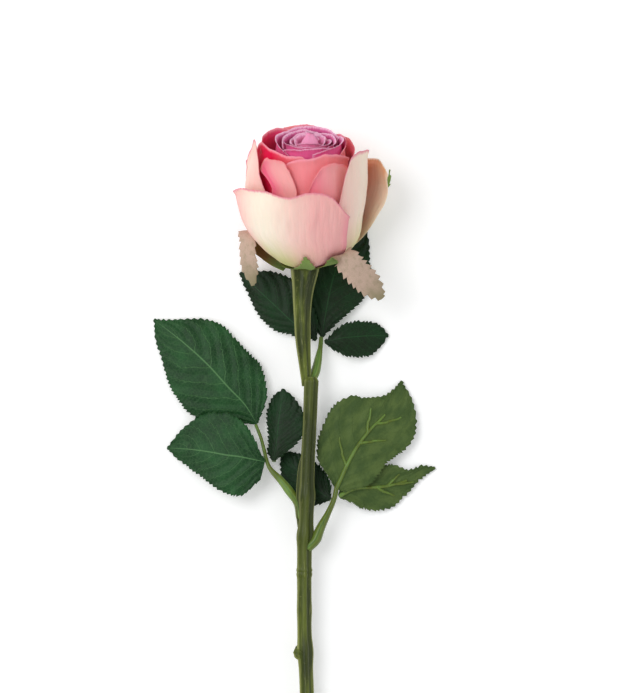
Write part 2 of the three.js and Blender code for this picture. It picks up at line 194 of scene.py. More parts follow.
def link_object(name, data):
    made = bpy.data.objects.new(name, data)
    bpy.context.scene.collection.objects.link(made)
    return made


def finish_piece(piece, nodes, material):
    piece.data.materials.clear()
    piece.data.materials.append(material)
    for polygon in piece.data.polygons:
        polygon.use_smooth = True
    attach(piece, BODY)
    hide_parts(*nodes)
    return piece


def mesh_piece(name, points, faces, marks=None, uvs=None):
    mesh = bpy.data.meshes.new(name)
    mesh.from_pydata(placed(points).tolist(), [], faces)
    if marks is not None:
        layer = mesh.attributes.new("print", "FLOAT_COLOR", "POINT")
        layer.data.foreach_set("color", np.clip(marks, 0, 1).astype(np.float32).ravel())
    if uvs is not None:
        corners = np.empty(len(mesh.loops), dtype=np.int32)
        mesh.loops.foreach_get("vertex_index", corners)
        uv = mesh.uv_layers.new(name="cloth")
        uv.data.foreach_set("uv", uvs[corners].astype(np.float32).ravel())
    mesh.update()
    return link_object(name, mesh)


def cloth_sheet(name, inner, outer, prints, uvs, flipped=0.0):
    """A closed thin piece between two grids. From outside, columns run left as rows run up.

    prints holds each point's height, its place across and its blush share, all 0 to 1. The
    fourth mark is 1 on the inner face, or on the outer one where flipped is 1.
    """
    rows, columns = inner.shape[:2]
    count = rows * columns
    index = np.arange(count).reshape(rows, columns)
    a, b = index[:-1, :-1].ravel(), index[:-1, 1:].ravel()
    c, d = index[1:, 1:].ravel(), index[1:, :-1].ravel()
    front = np.stack([a, d, c, b], axis=1)
    back = np.stack([a, b, c, d], axis=1) + count
    rim = np.concatenate([index[0, :], index[1:, -1], index[-1, -2::-1], index[-2:0:-1, 0]])
    after = np.roll(rim, -1)
    sides = np.stack([rim, after, after + count, rim + count], axis=1)
    faces = np.concatenate([front, back, sides]).tolist()
    points = np.concatenate([outer.reshape(-1, 3), inner.reshape(-1, 3)])
    marks = np.concatenate([
        np.stack(np.broadcast_arrays(*prints, inner_face), axis=-1).reshape(-1, 4)
        for inner_face in (flipped, 1 - flipped)
    ])
    uvs = np.concatenate([uvs.reshape(-1, 2), uvs.reshape(-1, 2)])
    return mesh_piece(name, points, faces, marks, uvs)


# ------------------------------------------------------------------ node building
class Tree:
    """Short calls for wiring a node tree. An input named i0, i1 and so on is given by its place."""

    def __init__(self, tree):
        self.tree = tree

    def node(self, kind, operation=None, **inputs):
        made = self.tree.nodes.new(kind)
        if operation is not None:
            attribute = "blend_type" if kind == "ShaderNodeMix" else "operation"
            setattr(made, attribute, operation)
        for key, value in inputs.items():
            by_place = key[0] == "i" and key[1:].isdigit()
            self.feed(made.inputs[int(key[1:]) if by_place else key], value)
        return made

    def feed(self, socket, value):
        if isinstance(value, bpy.types.NodeSocket):
            self.tree.links.new(value, socket)
        else:
            socket.default_value = value

    def math(self, operation, first, second=0.0, third=0.0, clamp=False):
        made = self.node("ShaderNodeMath", operation, i0=first, i1=second, i2=third)
        made.use_clamp = clamp
        return made.outputs[0]

    def ramp(self, value, low, high, out_low=0.0, out_high=1.0):
        made = self.node("ShaderNodeMapRange")
        made.interpolation_type = "SMOOTHSTEP"
        for index, number in enumerate((value, low, high, out_low, out_high)):
            self.feed(made.inputs[index], number)
        return made.outputs[0]

    def mix(self, factor, first, second, blend="MIX"):
        made = self.tree.nodes.new("ShaderNodeMix")
        made.data_type = "RGBA"
        made.blend_type = blend
        self.feed(made.inputs[0], factor)
        self.feed(made.inputs[6], first)
        self.feed(made.inputs[7], second)
        return made.outputs[2]

    def swing(self, value, amount, base=1.0):
        """base, moved up and down as a 0 to 1 value moves about one half."""
        return self.math("MULTIPLY_ADD", self.math("SUBTRACT", value, 0.5), amount, base)

    def shaded(self, color, shade):
        gray = self.node("ShaderNodeCombineColor", i0=shade, i1=shade, i2=shade)
        return self.mix(1.0, color, gray.outputs[0], "MULTIPLY")

    def noise(self, vector, scale, detail=3.0, rough=0.55):
        made = self.node("ShaderNodeTexNoise", Scale=scale, Detail=detail, Roughness=rough)
        self.feed(made.inputs["Vector"], vector)
        return made.outputs[0]

    def stretch(self, vector, scale):
        made = self.node("ShaderNodeVectorMath", "MULTIPLY", i0=vector)
        made.inputs[1].default_value = scale
        return made.outputs[0]


def node_group(name, inputs, outputs, kind="ShaderNodeTree"):
    group = bpy.data.node_groups.new(name, kind)
    for label, socket, default in inputs:
        made = group.interface.new_socket(label, in_out="INPUT", socket_type=socket)
        if default is not None:
            made.default_value = default
    for label, socket in outputs:
        group.interface.new_socket(label, in_out="OUTPUT", socket_type=socket)
    tree = Tree(group)
    given = group.nodes.new("NodeGroupInput").outputs
    result = group.nodes.new("NodeGroupOutput").inputs
    return tree, given, result


FLOAT, COLOR, VECTOR = "NodeSocketFloat", "NodeSocketColor", "NodeSocketVector"
WHITE = (1, 1, 1, 1)


def make_weave_group():
    """Fine plain weave in real thread sizes on the cloth's own UV map, in metres."""
    tree, given, result = node_group(
        "Cloth Weave",
        [("Cloth", VECTOR, None), ("Threads per Metre", FLOAT, 2600.0), ("Slub", FLOAT, 0.35)],
        [("Height", FLOAT), ("Shade", FLOAT)],
    )
    scaled = tree.node("ShaderNodeVectorMath", "SCALE", i0=given[0])
    tree.feed(scaled.inputs[3], given[1])
    parts = tree.node("ShaderNodeSeparateXYZ", i0=scaled.outputs[0])
    warp = tree.math("SINE", tree.math("MULTIPLY", parts.outputs[0], 6.2832))
    weft = tree.math("SINE", tree.math("MULTIPLY", parts.outputs[1], 6.2832))
    cross = tree.math("MULTIPLY", warp, weft)
    threads = tree.math("MULTIPLY_ADD", cross, 0.5, 0.5)
    slub_x = tree.noise(tree.stretch(given[0], (1500, 160, 1)), 1.0, 2.0)
    slub_y = tree.noise(tree.stretch(given[0], (160, 1500, 1)), 1.0, 2.0)
    slub = tree.math("MULTIPLY", tree.math("ADD", slub_x, slub_y), 0.5)
    tree.feed(result[0], tree.swing(slub, given[2], threads))
    grain = tree.noise(given[0], 2200.0, 2.0)
    tree.feed(result[1], tree.swing(grain, 0.45))
    return tree.tree


def make_print_group():
    """Colours printed on a petal: foot to body to blush to rim, with soft wandering borders."""
    tree, given, result = node_group(
        "Petal Print",
        [
            ("Marks", COLOR, WHITE), ("Inner Face", FLOAT, 0.0), ("Cloth", VECTOR, None),
            ("Foot", COLOR, WHITE), ("Body", COLOR, WHITE), ("Blush", COLOR, WHITE),
            ("Rim", COLOR, WHITE), ("Inside", COLOR, WHITE), ("Foot Reach", FLOAT, 0.4),
            ("Rim Width", FLOAT, 0.08),
        ],
        [("Color", COLOR)],
    )
    marks = tree.node("ShaderNodeSeparateColor", i0=given["Marks"]).outputs
    cloud = tree.noise(tree.stretch(given["Cloth"], (110, 45, 1)), 1.0, 4.0)
    streak = tree.noise(tree.stretch(given["Cloth"], (900, 60, 1)), 1.0, 3.0)
    drift = tree.swing(streak, 0.1, tree.swing(cloud, 0.28, marks[0]))
    body = tree.mix(given["Inner Face"], given["Body"], given["Inside"])
    color = tree.mix(tree.ramp(drift, 0.02, given["Foot Reach"]), given["Foot"], body)
    share = tree.swing(streak, 0.2, tree.swing(cloud, 0.35, marks[2]))
    color = tree.mix(tree.math("MULTIPLY", share, 1.0, clamp=True), color, given["Blush"])
    rim_low = tree.math("SUBTRACT", 1.0, given["Rim Width"])
    top = tree.ramp(tree.swing(streak, 0.04, marks[0]), rim_low, 1.0)
    side = tree.ramp(tree.math("MULTIPLY_ADD", streak, 0.05, marks[1]), 0.9, 1.03, 0.0, 0.7)
    color = tree.mix(tree.math("MAXIMUM", top, side), color, given["Rim"])
    tree.feed(result[0], tree.shaded(color, tree.swing(streak, 0.1)))
    return tree.tree


def make_crinkle_group():
    """Fine lengthwise creases of heat-set cloth, strongest away from the foot."""
    tree, given, result = node_group(
        "Heat Set Creases",
        [("Cloth", VECTOR, None), ("Along", FLOAT, 1.0), ("Crease Size", FLOAT, 1.0)],
        [("Height", FLOAT)],
    )
    long_creases = tree.noise(tree.stretch(given[0], (420, 42, 1)), given[2], 3.0, 0.5)
    cross_creases = tree.noise(tree.stretch(given[0], (160, 110, 1)), given[2], 4.0, 0.6)
    both = tree.math("MULTIPLY_ADD", cross_creases, 0.7, long_creases)
    tree.feed(result[0], tree.math("MULTIPLY", both, tree.ramp(given[1], 0.0, 0.5, 0.35, 1.0)))
    return tree.tree


def make_vein_group():
    """Leaf veins: midrib, forward-curving side veins and a fine net between them."""
    tree, given, result = node_group(
        "Leaf Veins",
        [("Marks", COLOR, WHITE), ("Cloth", VECTOR, None), ("Vein Pairs", FLOAT, 8.0)],
        [("Side Veins", FLOAT), ("Midrib", FLOAT), ("Net", FLOAT)],
    )
    marks = tree.node("ShaderNodeSeparateColor", i0=given["Marks"]).outputs
    across = tree.math("ABSOLUTE", tree.math("MULTIPLY_ADD", marks[1], 2.0, -1.0))
    bend = tree.math("MULTIPLY", tree.math("POWER", across, VEIN_CURVE), VEIN_LEAN)
    wobble = tree.noise(tree.stretch(given["Cloth"], (90, 90, 1)), 1.0, 2.0)
    place = tree.swing(wobble, 0.1, tree.math("SUBTRACT", marks[0], bend))
    turns = tree.math("MULTIPLY", place, given["Vein Pairs"])
    saw = tree.math("ABSOLUTE", tree.math("SUBTRACT", tree.math("FRACT", turns), 0.5))
    side = tree.ramp(saw, 0.0, 0.05, 1.0, 0.0)
    side = tree.math("MULTIPLY", side, tree.ramp(across, 0.75, 1.0, 1.0, 0.25))
    cells = tree.node("ShaderNodeTexVoronoi", Scale=1.0)
    cells.feature = "DISTANCE_TO_EDGE"
    tree.feed(cells.inputs["Vector"], tree.stretch(given["Cloth"], (620, 620, 1)))
    tree.feed(result[0], side)
    tree.feed(result[1], tree.ramp(across, 0.0, 0.03, 1.0, 0.0))
    tree.feed(result[2], tree.ramp(cells.outputs[0], 0.0, 0.14, 1.0, 0.0))
    return tree.tree


def make_mould_group():
    """Moulded plastic: cloudy tint, small pits and pale specks, and lengthwise draw marks whose dark
    and pale ends are painted shade and painted highlight streaks.
    """
    tree, given, result = node_group(
        "Moulded Tint",
        [
            ("Place", VECTOR, None), ("Light", COLOR, WHITE), ("Dark", COLOR, WHITE),
            ("Tip", COLOR, WHITE),
        ],
        [("Color", COLOR), ("Height", FLOAT), ("Roughness", FLOAT)],
    )
    cloud = tree.noise(tree.stretch(given["Place"], (150, 28, 150)), 1.0, 4.0)
    lines = tree.noise(tree.stretch(given["Place"], (1400, 36, 1400)), 1.0, 3.0)
    speck = tree.noise(given["Place"], 700.0, 2.0)
    color = tree.mix(tree.ramp(cloud, 0.34, 0.66), given["Dark"], given["Light"])
    # Painted shade and painted highlight: low ends of the lengthwise lines darken towards Dark, high
    # ends lighten towards Tip, as streaks.
    color = tree.mix(tree.ramp(lines, 0.28, 0.42, 0.6, 0.0), color, given["Dark"])
    color = tree.mix(tree.ramp(lines, 0.58, 0.72, 0.0, 0.5), color, given["Tip"])
    color = tree.mix(tree.ramp(speck, 0.62, 0.8, 0.0, 0.45), color, given["Tip"])
    tree.feed(result[0], color)
    tree.feed(result[1], tree.math("MULTIPLY_ADD", speck, 0.35, lines))
    tree.feed(result[2], tree.ramp(cloud, 0.3, 0.7, 0.3, 0.46))
    return tree.tree


def shader_group(name, make):
    return bpy.data.node_groups.get(name) or make()


def new_material(name, roughness, sheen=0.0, coat=0.0, through=0.0, shine=0.5):
    material = bpy.data.materials.new(name)
    material.use_nodes = True
    tree = Tree(material.node_tree)
    shader = material.node_tree.nodes["Principled BSDF"]
    shader.inputs["Roughness"].default_value = roughness
    shader.inputs["Sheen Weight"].default_value = sheen
    shader.inputs["Coat Weight"].default_value = coat
    shader.inputs["Coat Roughness"].default_value = 0.3
    shader.inputs["Specular IOR Level"].default_value = shine
    if through:
        shader.inputs["Subsurface Weight"].default_value = through
        shader.inputs["Subsurface Radius"].default_value = (1.0, 0.45, 0.35)
        shader.inputs["Subsurface Scale"].default_value = 0.0012
    return material, tree, shader.inputs


def use_group(tree, name, make, **inputs):
    made = tree.tree.nodes.new("ShaderNodeGroup")
    made.node_tree = shader_group(name, make)
    for key, value in inputs.items():
        tree.feed(made.inputs[key.replace("_", " ")], value)
    return made.outputs


def bump(tree, height, distance, strength=1.0, normal=None):
    made = tree.node("ShaderNodeBump", Height=height, Distance=distance, Strength=strength)
    if normal is not None:
        tree.feed(made.inputs["Normal"], normal)
    return made.outputs[0]


def cloth_inputs(tree):
    marks = tree.tree.nodes.new("ShaderNodeAttribute")
    marks.attribute_name = "print"
    uv = tree.tree.nodes.new("ShaderNodeUVMap")
    uv.uv_map = "cloth"
    return marks.outputs["Color"], marks.outputs["Alpha"], uv.outputs[0]


def petal_material(name, colors, foot_reach, rim_width, crease=0.00022):
    material, tree, sockets = new_material(name, 0.72, sheen=0.04, through=0.1, shine=0.2)
    marks, inner, cloth = cloth_inputs(tree)
    foot, body, blush, rim, inside = colors
    printed = use_group(
        tree, "Petal Print", make_print_group, Marks=marks, Inner_Face=inner, Cloth=cloth,
        Foot=foot, Body=body, Blush=blush, Rim=rim, Inside=inside,
        Foot_Reach=foot_reach, Rim_Width=rim_width,
    )
    height = tree.node("ShaderNodeSeparateColor", i0=marks).outputs[0]
    creases = use_group(tree, "Heat Set Creases", make_crinkle_group, Cloth=cloth, Along=height)
    weave = use_group(tree, "Cloth Weave", make_weave_group, Cloth=cloth)
    first = bump(tree, creases["Height"], crease)
    tree.feed(sockets["Normal"], bump(tree, weave["Height"], 0.00002, 0.35, first))
    tree.feed(sockets["Base Color"], printed["Color"])
    return material


def leaf_material(name, colors, pairs, gloss):
    material, tree, sockets = new_material(name, gloss, shine=0.2)
    marks, under, cloth = cloth_inputs(tree)
    body, pale, vein, back = colors
    veins = use_group(tree, "Leaf Veins", make_vein_group, Marks=marks, Cloth=cloth, Vein_Pairs=pairs)
    weave = use_group(tree, "Cloth Weave", make_weave_group, Cloth=cloth)
    cloud = tree.noise(tree.stretch(cloth, (55, 55, 1)), 1.0, 4.0)
    color = tree.mix(tree.ramp(cloud, 0.35, 0.7), body, pale)
    color = tree.mix(tree.math("MULTIPLY", veins["Net"], 0.13), color, vein)
    color = tree.mix(tree.math("MULTIPLY", veins["Side Veins"], 0.38), color, vein)
    color = tree.mix(tree.math("MULTIPLY", veins["Midrib"], 0.75), color, vein)
    mottle = tree.noise(tree.stretch(cloth, (170, 90, 1)), 1.0, 4.0)
    matt = tree.mix(tree.ramp(mottle, 0.36, 0.64), tree.mix(0.45, back, body), back)
    color = tree.mix(under, color, matt)
    tree.feed(sockets["Base Color"], tree.shaded(color, weave["Shade"]))
    grooves = tree.math("MULTIPLY_ADD", veins["Net"], 0.35, veins["Side Veins"])
    first = bump(tree, tree.math("MULTIPLY", grooves, -1.0), 0.00012)
    tree.feed(sockets["Normal"], bump(tree, weave["Height"], 0.00003, 0.8, first))
    tree.feed(sockets["Roughness"], tree.ramp(cloud, 0.3, 0.7, gloss - 0.06, gloss + 0.08))
    return material


def sepal_material(name, colors):
    material, tree, sockets = new_material(name, 0.8, sheen=0.04, shine=0.2)
    marks, inner, cloth = cloth_inputs(tree)
    outside, root, blade, tip = colors
    height, _, share = tree.node("ShaderNodeSeparateColor", i0=marks).outputs
    cloud = tree.noise(tree.stretch(cloth, (140, 60, 1)), 1.0, 4.0)
    drift = tree.swing(cloud, 0.3, height)
    weave = use_group(tree, "Cloth Weave", make_weave_group, Cloth=cloth)
    face = tree.mix(tree.ramp(drift, 0.28, 0.5), root, blade)
    face = tree.mix(tree.ramp(drift, 0.72, 1.0), face, tip)
    blotch = tree.noise(tree.stretch(cloth, (420, 300, 1)), 1.0, 4.0)
    face = tree.mix(tree.ramp(blotch, 0.45, 0.75, 0.0, 0.5), face, tip)
    outside = tree.mix(tree.math("MULTIPLY", share, tree.ramp(drift, 0.02, 0.22)), outside, root)
    tree.feed(sockets["Base Color"], tree.shaded(tree.mix(inner, outside, face), weave["Shade"]))
    creases = use_group(tree, "Heat Set Creases", make_crinkle_group, Cloth=cloth, Along=height)
    first = bump(tree, creases["Height"], 0.00015)
    tree.feed(sockets["Normal"], bump(tree, weave["Height"], 0.00004, 0.9, first))
    return material


def mould_material(name, light, dark, tip, coat, dark_span=None):
    """Moulded plastic with painted shade in its flute grooves and a painted highlight on its flute
    crowns, darker over dark_span, a low and a high y in metres.
    """
    material, tree, sockets = new_material(name, 0.38, coat=coat, shine=0.24)
    place = tree.tree.nodes.new("ShaderNodeTexCoord").outputs["Object"]
    tint = use_group(
        tree, "Moulded Tint", make_mould_group, Place=place, Light=light, Dark=dark, Tip=tip
    )
    ridge = tree.node("ShaderNodeAttribute")
    ridge.attribute_name = RIDGE
    # Painted shade in the flute grooves towards dark, and a painted highlight in the tip colour on the
    # flute crowns, read from the ridge attribute.
    painted_groove_shade = tree.ramp(ridge.outputs["Fac"], -1.2, -0.1, 0.75, 0.0)
    painted_crown_highlight = tree.ramp(ridge.outputs["Fac"], 0.4, 1.3, 0.0, 0.75)
    color = tree.mix(painted_crown_highlight, tree.mix(painted_groove_shade, tint["Color"], dark), tip)
    if dark_span:
        low, high = dark_span
        rise = tree.node("ShaderNodeSeparateXYZ", i0=place).outputs[1]
        fade_in = tree.ramp(rise, low - 0.02, low + 0.03)
        fade_out = tree.ramp(rise, high - 0.004, high, 1.0, 0.0)
        inside = tree.math("MULTIPLY", fade_in, fade_out)
        color = tree.mix(tree.math("MULTIPLY", inside, 0.5), color, dark)
    tree.feed(sockets["Base Color"], color)
    tree.feed(sockets["Roughness"], tint["Roughness"])
    tree.feed(sockets["Normal"], bump(tree, tint["Height"], 0.00009))
    return material


def plain(color):
    return (color[0], color[1], color[2], 1.0)


# ------------------------------------------------------------------ swept tubes
# Attributes of a line's thickness, and of how far out a flute stands on the finished tube.
RADIUS = "radius"
RIDGE = "ridge"


def make_sweep_group():
    """Sweeps a fluted round profile along lines, thick as their radius attribute says."""
    group = bpy.data.node_groups.new("Fluted Tube", "GeometryNodeTree")
    face = group.interface
    face.new_socket("Geometry", in_out="INPUT", socket_type="NodeSocketGeometry")
    for label, kind, default in (
        ("Sides", "NodeSocketInt", 40), ("Flutes", "NodeSocketFloat", 5.0),
        ("Flute Depth", "NodeSocketFloat", 0.05), ("Lump Height", "NodeSocketFloat", 0.0002),
        ("Lump Scale", "NodeSocketFloat", 90.0), ("Seed", "NodeSocketFloat", 3.0),
        ("Finish", "NodeSocketMaterial", None),
    ):
        made = face.new_socket(label, in_out="INPUT", socket_type=kind)
        if default is not None:
            made.default_value = default
    face.new_socket("Geometry", in_out="OUTPUT", socket_type="NodeSocketGeometry")
    tree = Tree(group)
    given = group.nodes.new("NodeGroupInput").outputs
    result = group.nodes.new("NodeGroupOutput").inputs

    profile = tree.node("GeometryNodeCurvePrimitiveCircle", Resolution=given["Sides"], Radius=1.0)
    spot = group.nodes.new("GeometryNodeInputPosition").outputs[0]
    parts = tree.node("ShaderNodeSeparateXYZ", i0=spot).outputs
    angle = tree.math("ARCTAN2", parts[1], parts[0])
    wave = tree.math("COSINE", tree.math("MULTIPLY", angle, given["Flutes"]))
    broad = tree.math("COSINE", tree.math("MULTIPLY", angle, 3.0))
    wave = tree.math("MULTIPLY_ADD", broad, 0.5, wave)
    grow = tree.math("MULTIPLY_ADD", wave, given["Flute Depth"], 1.0)
    fluted = tree.node("ShaderNodeVectorMath", "SCALE", i0=spot)
    tree.feed(fluted.inputs[3], grow)
    profile = tree.node(
        "GeometryNodeStoreNamedAttribute", Geometry=profile.outputs[0], Name=RIDGE, Value=wave
    )
    profile = tree.node(
        "GeometryNodeSetPosition", Geometry=profile.outputs[0], Position=fluted.outputs[0]
    )

    line = tree.node("GeometryNodeMeshToCurve", Mesh=given["Geometry"])
    thickness = tree.node("GeometryNodeInputNamedAttribute", Name=RADIUS)
    swept = tree.node(
        "GeometryNodeCurveToMesh", Curve=line.outputs[0],
        i1=profile.outputs[0], Scale=thickness.outputs[0],
    )
    swept.inputs["Fill Caps"].default_value = True
    place = tree.node("GeometryNodeInputPosition").outputs[0]
    lumps = tree.node("ShaderNodeTexNoise", Vector=place, Scale=given["Lump Scale"], Detail=2.0)
    lumps.noise_dimensions = "4D"
    tree.feed(lumps.inputs["W"], given["Seed"])
    push = tree.swing(lumps.outputs[0], given["Lump Height"], 0.0)
    normal = tree.node("GeometryNodeInputNormal").outputs[0]
    offset = tree.node("ShaderNodeVectorMath", "SCALE", i0=normal)
    tree.feed(offset.inputs[3], push)
    lumpy = tree.node("GeometryNodeSetPosition", Geometry=swept.outputs[0], Offset=offset.outputs[0])
    whole = tree.node("GeometryNodeRealizeInstances", Geometry=lumpy.outputs[0])
    painted = tree.node(
        "GeometryNodeSetMaterial", Geometry=whole.outputs[0], Material=given["Finish"]
    )
    tree.feed(result[0], painted.outputs[0])
    return group


def swept_piece(name, lines, material, **settings):
    """lines is a list of (points, radii) in the stem's frame; every line becomes one closed tube."""
    group = bpy.data.node_groups.get("Fluted Tube") or make_sweep_group()
    mesh = bpy.data.meshes.new(name + "_line")
    vertices, edges, radii = [], [], []
    for points, thick in lines:
        start = len(vertices)
        vertices += placed(points).tolist()
        radii += (np.asarray(thick) * MM).tolist()
        edges += [(k, k + 1) for k in range(start, len(vertices) - 1)]
    mesh.from_pydata(vertices, edges, [])
    mesh.attributes.new(RADIUS, "FLOAT", "POINT").data.foreach_set("value", radii)
    guide = link_object(name + "_line", mesh)
    modifier = guide.modifiers.new("Sweep", "NODES")
    modifier.node_group = group
    settings["Finish"] = material
    for socket in group.interface.items_tree:
        if socket.in_out == "INPUT" and socket.name in settings:
            modifier[socket.identifier] = settings[socket.name]
    guide.update_tag()
    bpy.context.view_layer.update()
    ready = guide.evaluated_get(bpy.context.evaluated_depsgraph_get())
    result = bpy.data.meshes.new_from_object(ready)
    result.name = name
    bpy.data.objects.remove(guide)
    bpy.data.meshes.remove(mesh)
    return link_object(name, result)


def stem_points(y, heights=STEM_HEIGHTS, middles=STEM_MIDDLES):
    x = np.mean([np.interp(y + shift, heights, middles) for shift in (-4, -2, 0, 2, 4)], axis=0)
    z = CUT_END_HEIGHT + (NECK[2] - CUT_END_HEIGHT) * y / STEM_LENGTH
    return np.stack([x, y, z], axis=-1)


def hump(y, place, width, height):
    return height * np.exp(-(((y - place) / width) ** 2))


# ------------------------------------------------------------------ the bloom
# crest lists give a petal's rim height at even steps from its first meridian to its last.
# flare is how far the start and the end lean out, and the heights it grows between. A lean is the
# lower height, the upper height and the degrees that side turns through between them.
def petal(start, end, layer, foot, crest, **extra):
    return dict(start=start, end=end, layer=layer, foot=foot, crest=crest, **extra)


def falling_crest(rim, fall_start, fall_end):
    u = np.linspace(-1, 1, 13)
    return rim - np.where(u < 0, fall_start, fall_end) * np.abs(u) ** 2.6


def ring(name, count, first, spacing, span, layer, pitch, foot, rim, falls):
    found = {}
    for index in range(count):
        start = first + index * spacing
        crest = falling_crest(rim, *falls)
        found[f"{name}_{index + 1}"] = petal(
            start, start + span, layer + pitch * index, foot, crest
        )
    return found


MAUVE = {
    "bud_petal": petal(
        -80, 340, 5.2, 24, falling_crest(70, 1, 5), twist=0.5, flare=(-3.7, -2.9, 62, 70)
    ),
    **ring("heart_petal", 3, 20, 120, 140, 6.6, 0.75, 15, 66, (3, 2)),
    **ring("inner_petal", 3, 80, 120, 140, 9.8, 0.9, 9, 65.4, (3, 1.5)),
    **ring("whorl_petal", 3, 40, 120, 140, 12.8, 1.05, 9, 65.8, (3, 1.5)),
    **ring("mauve_petal", 4, 20, 100, 120, 16.8, 1.05, 5, 66.2, (4, 2)),
}
CORAL = {
    "coral_petal_under": petal(220, 320, 21.0, 5, falling_crest(66, 6, 6)),
    "coral_petal_side": petal(-60, 40, 21.9, 5, falling_crest(65, 6, 6)),
    "coral_petal_back": petal(160, 260, 22.8, 5, falling_crest(66, 3, 6), flare=(2.6, 0.4, 30, 62)),
    "coral_petal_left": petal(
        80, 180, 23.7, 5, [56, 62.9, 64.4, 65, 65.4, 66.4, 67.4, 65.5, 57],
        flare=(-0.9, 3.4, 30, 62),
    ),
    "coral_petal_right": petal(
        20, 120, 24.7, 5, [59, 61, 63, 64, 64.5, 64.5, 64.3, 63.6, 63, 61.5, 59]
    ),
}
BLUSH = {
    "blush_petal_back": petal(200, 300, 26.0, 2, falling_crest(64, 6, 6)),
    "blush_petal_side": petal(-80, 20, 26.9, 2, falling_crest(62, 8, 4)),
    "blush_petal_left": petal(
        98, 127, 27.7, 2, [58, 61.5, 62.3, 62.5, 62, 60, 55],
        start_lean=(46, 59, 9), end_lean=(46, 58, 24),
    ),
    "blush_petal_right": petal(20, 100, 28.6, 2, [50, 54, 58, 60.3, 61, 59.8, 54, 43, 36]),
}
GUARD = {
    "guard_petal_under": petal(220, 320, 29.0, 0.6, falling_crest(58, 8, 8)),
    "guard_petal_left": petal(
        120, 220, 29.9, 0.6, [43, 46, 53, 64, 69, 62, 55, 52, 50, 49, 47], flare=(0, 0.8, 27, 66)
    ),
    "guard_petal_outer": petal(
        200, 280, 30.9, 0.6, [50, 51, 51.3, 51, 50, 48.5, 46.5, 44.5, 42], flare=(2.4, 0, 27, 70)
    ),
    "guard_petal_right": petal(
        -20, 57, 31.2, 0.6, [50, 57, 60, 61.5, 63, 64.5, 63, 56, 42], flare=(5, 1.2, 27, 66)
    ),
    "guard_petal_wing": petal(
        -80, 0, 32.2, 0.6, [38, 40, 42, 44, 46, 48.5, 50.5, 51, 47], flare=(0, 10, 4, 38),
        blush_rise=[0.6, 0.9, 1, 1, 0.9, 0.6, 0.3],
    ),
    "guard_petal_front": petal(
        47, 200, 33.4, 0.6, [34, 46.5, 50, 47.2, 48.8, 47, 43.5, 37.5, 30], flare=(0.8, 2.6, 20, 52)
    ),
}


def build_petal(name, shape, material, seed, look):
    rng = np.random.default_rng(seed)
    columns = max(36, int((shape["end"] - shape["start"]) * look["detail"]))
    u = np.linspace(-1, 1, columns)[None, :]
    v = np.linspace(0, 1, PETAL_ROWS)[:, None]
    threads = rng.normal(0, look["fray"], (1, columns))
    fray = threads + rng.normal(0, look["fray"], (1, columns)).cumsum(1) * 0.04
    crest = eased(shape["crest"], (u + 1) / 2)
    crest = crest + look["wave"] * ripple(u, rng, 5, 2.0) * smooth(0, 0.25, 1 - np.abs(u))
    crest = crest + fray
    height = shape["foot"] + (crest - shape["foot"]) * v**0.92
    sides = []
    for key in ("start", "end"):
        low, high, lean = shape.get(key + "_lean", (0, 1, 0))
        sides.append(shape[key] + lean * smooth(low, high, height))
    azimuth = sides[0] + (u + 1) / 2 * (sides[1] - sides[0])
    width = np.radians(shape["end"] - shape["start"]) * shape["layer"]
    start_flare, end_flare, low, high = shape.get("flare", (0, 0, 27, 70))
    flare = (start_flare + (end_flare - start_flare) * (u + 1) / 2) * smooth(low, high, height)
    flare = flare + look["swell"] * np.sin(np.radians(3 * azimuth + 40)) * (height / 70) ** 2
    flare = flare + look["buckle"] * ripple(u, rng, 6, 3.0) * smooth(0.45, 1.0, v)
    wrinkles = crumple(u[0], v[:, 0], rng, int(width / 2.6) + 4, 7)
    wrinkles = wrinkles + 0.6 * crumple(u[0], v[:, 0], rng, int(width / 1.5) + 4, 11)
    flare = flare + look["wrinkle"] * wrinkles * smooth(0.05, 0.4, v)
    curled = smooth(1 - look["roll_share"], 1, v) ** 2
    roll = look["roll"] * (1 + 0.35 * ripple(u, rng, 3)) * curled
    flare = flare + roll
    height = height - roll * 0.45
    edge = smooth(0.9, 1.0, np.abs(u)) * smooth(0.1, 0.5, v)
    flare = flare + look["edge_lift"] * edge
    place = shape["layer"] + shape.get("twist", 0) * u
    half = CLOTH / 2 * (1 - 0.7 * smooth(0.93, 1, v)) * (1 - 0.7 * smooth(0.96, 1, np.abs(u)))
    inner = bloom_points(place - half, azimuth, height, flare)
    outer = bloom_points(place + half, azimuth, height, flare)
    share = eased(shape.get("blush", look["blush"]), (u + 1) / 2)
    share = share * eased(shape.get("blush_rise", [1, 1]), v)
    uvs = np.stack(np.broadcast_arrays((u + 1) / 2 * width, height), axis=-1) * MM
    piece = cloth_sheet(name, inner, outer, (v, np.abs(u), share), uvs)
    return finish_piece(piece, [name], material)


# ------------------------------------------------------------------ sepals
def place_frames(points, sides, t):
    """Middle points of a strip, with unit directions across it and out of it."""
    centre = spline(points, t)
    forward = unit(np.gradient(centre, axis=0))
    side = np.stack([along([s[k] for s in sides], t) for k in range(3)], axis=-1)
    side = unit(side - forward * np.sum(side * forward, axis=1, keepdims=True))
    return centre, side, np.cross(forward, side)


def on_bowl(azimuth, heights, gap, flare_of=None):
    """A strip's middle points and across directions, gap millimetres outside the bowl."""
    def place(turn, height):
        flare = flare_of(turn, height) if flare_of else 0.0
        return bloom_points(BLOOM_LAYER + gap, turn, float(height), flare)

    turns = np.broadcast_to(azimuth, len(heights)).astype(float)
    middle = [place(turn, h) for turn, h in zip(turns, heights)]
    sides = [unit(place(turn + 6, h) - place(turn - 6, h)) for turn, h in zip(turns, heights)]
    return middle, sides


def wing_flare(turn, height):
    """How far the spread petal leans out, for the sepal that follows it."""
    wing = GUARD["guard_petal_wing"]
    _, most, low, high = wing["flare"]
    across = (turn - wing["start"]) / (wing["end"] - wing["start"])
    return most * across * smooth(low, high, height)


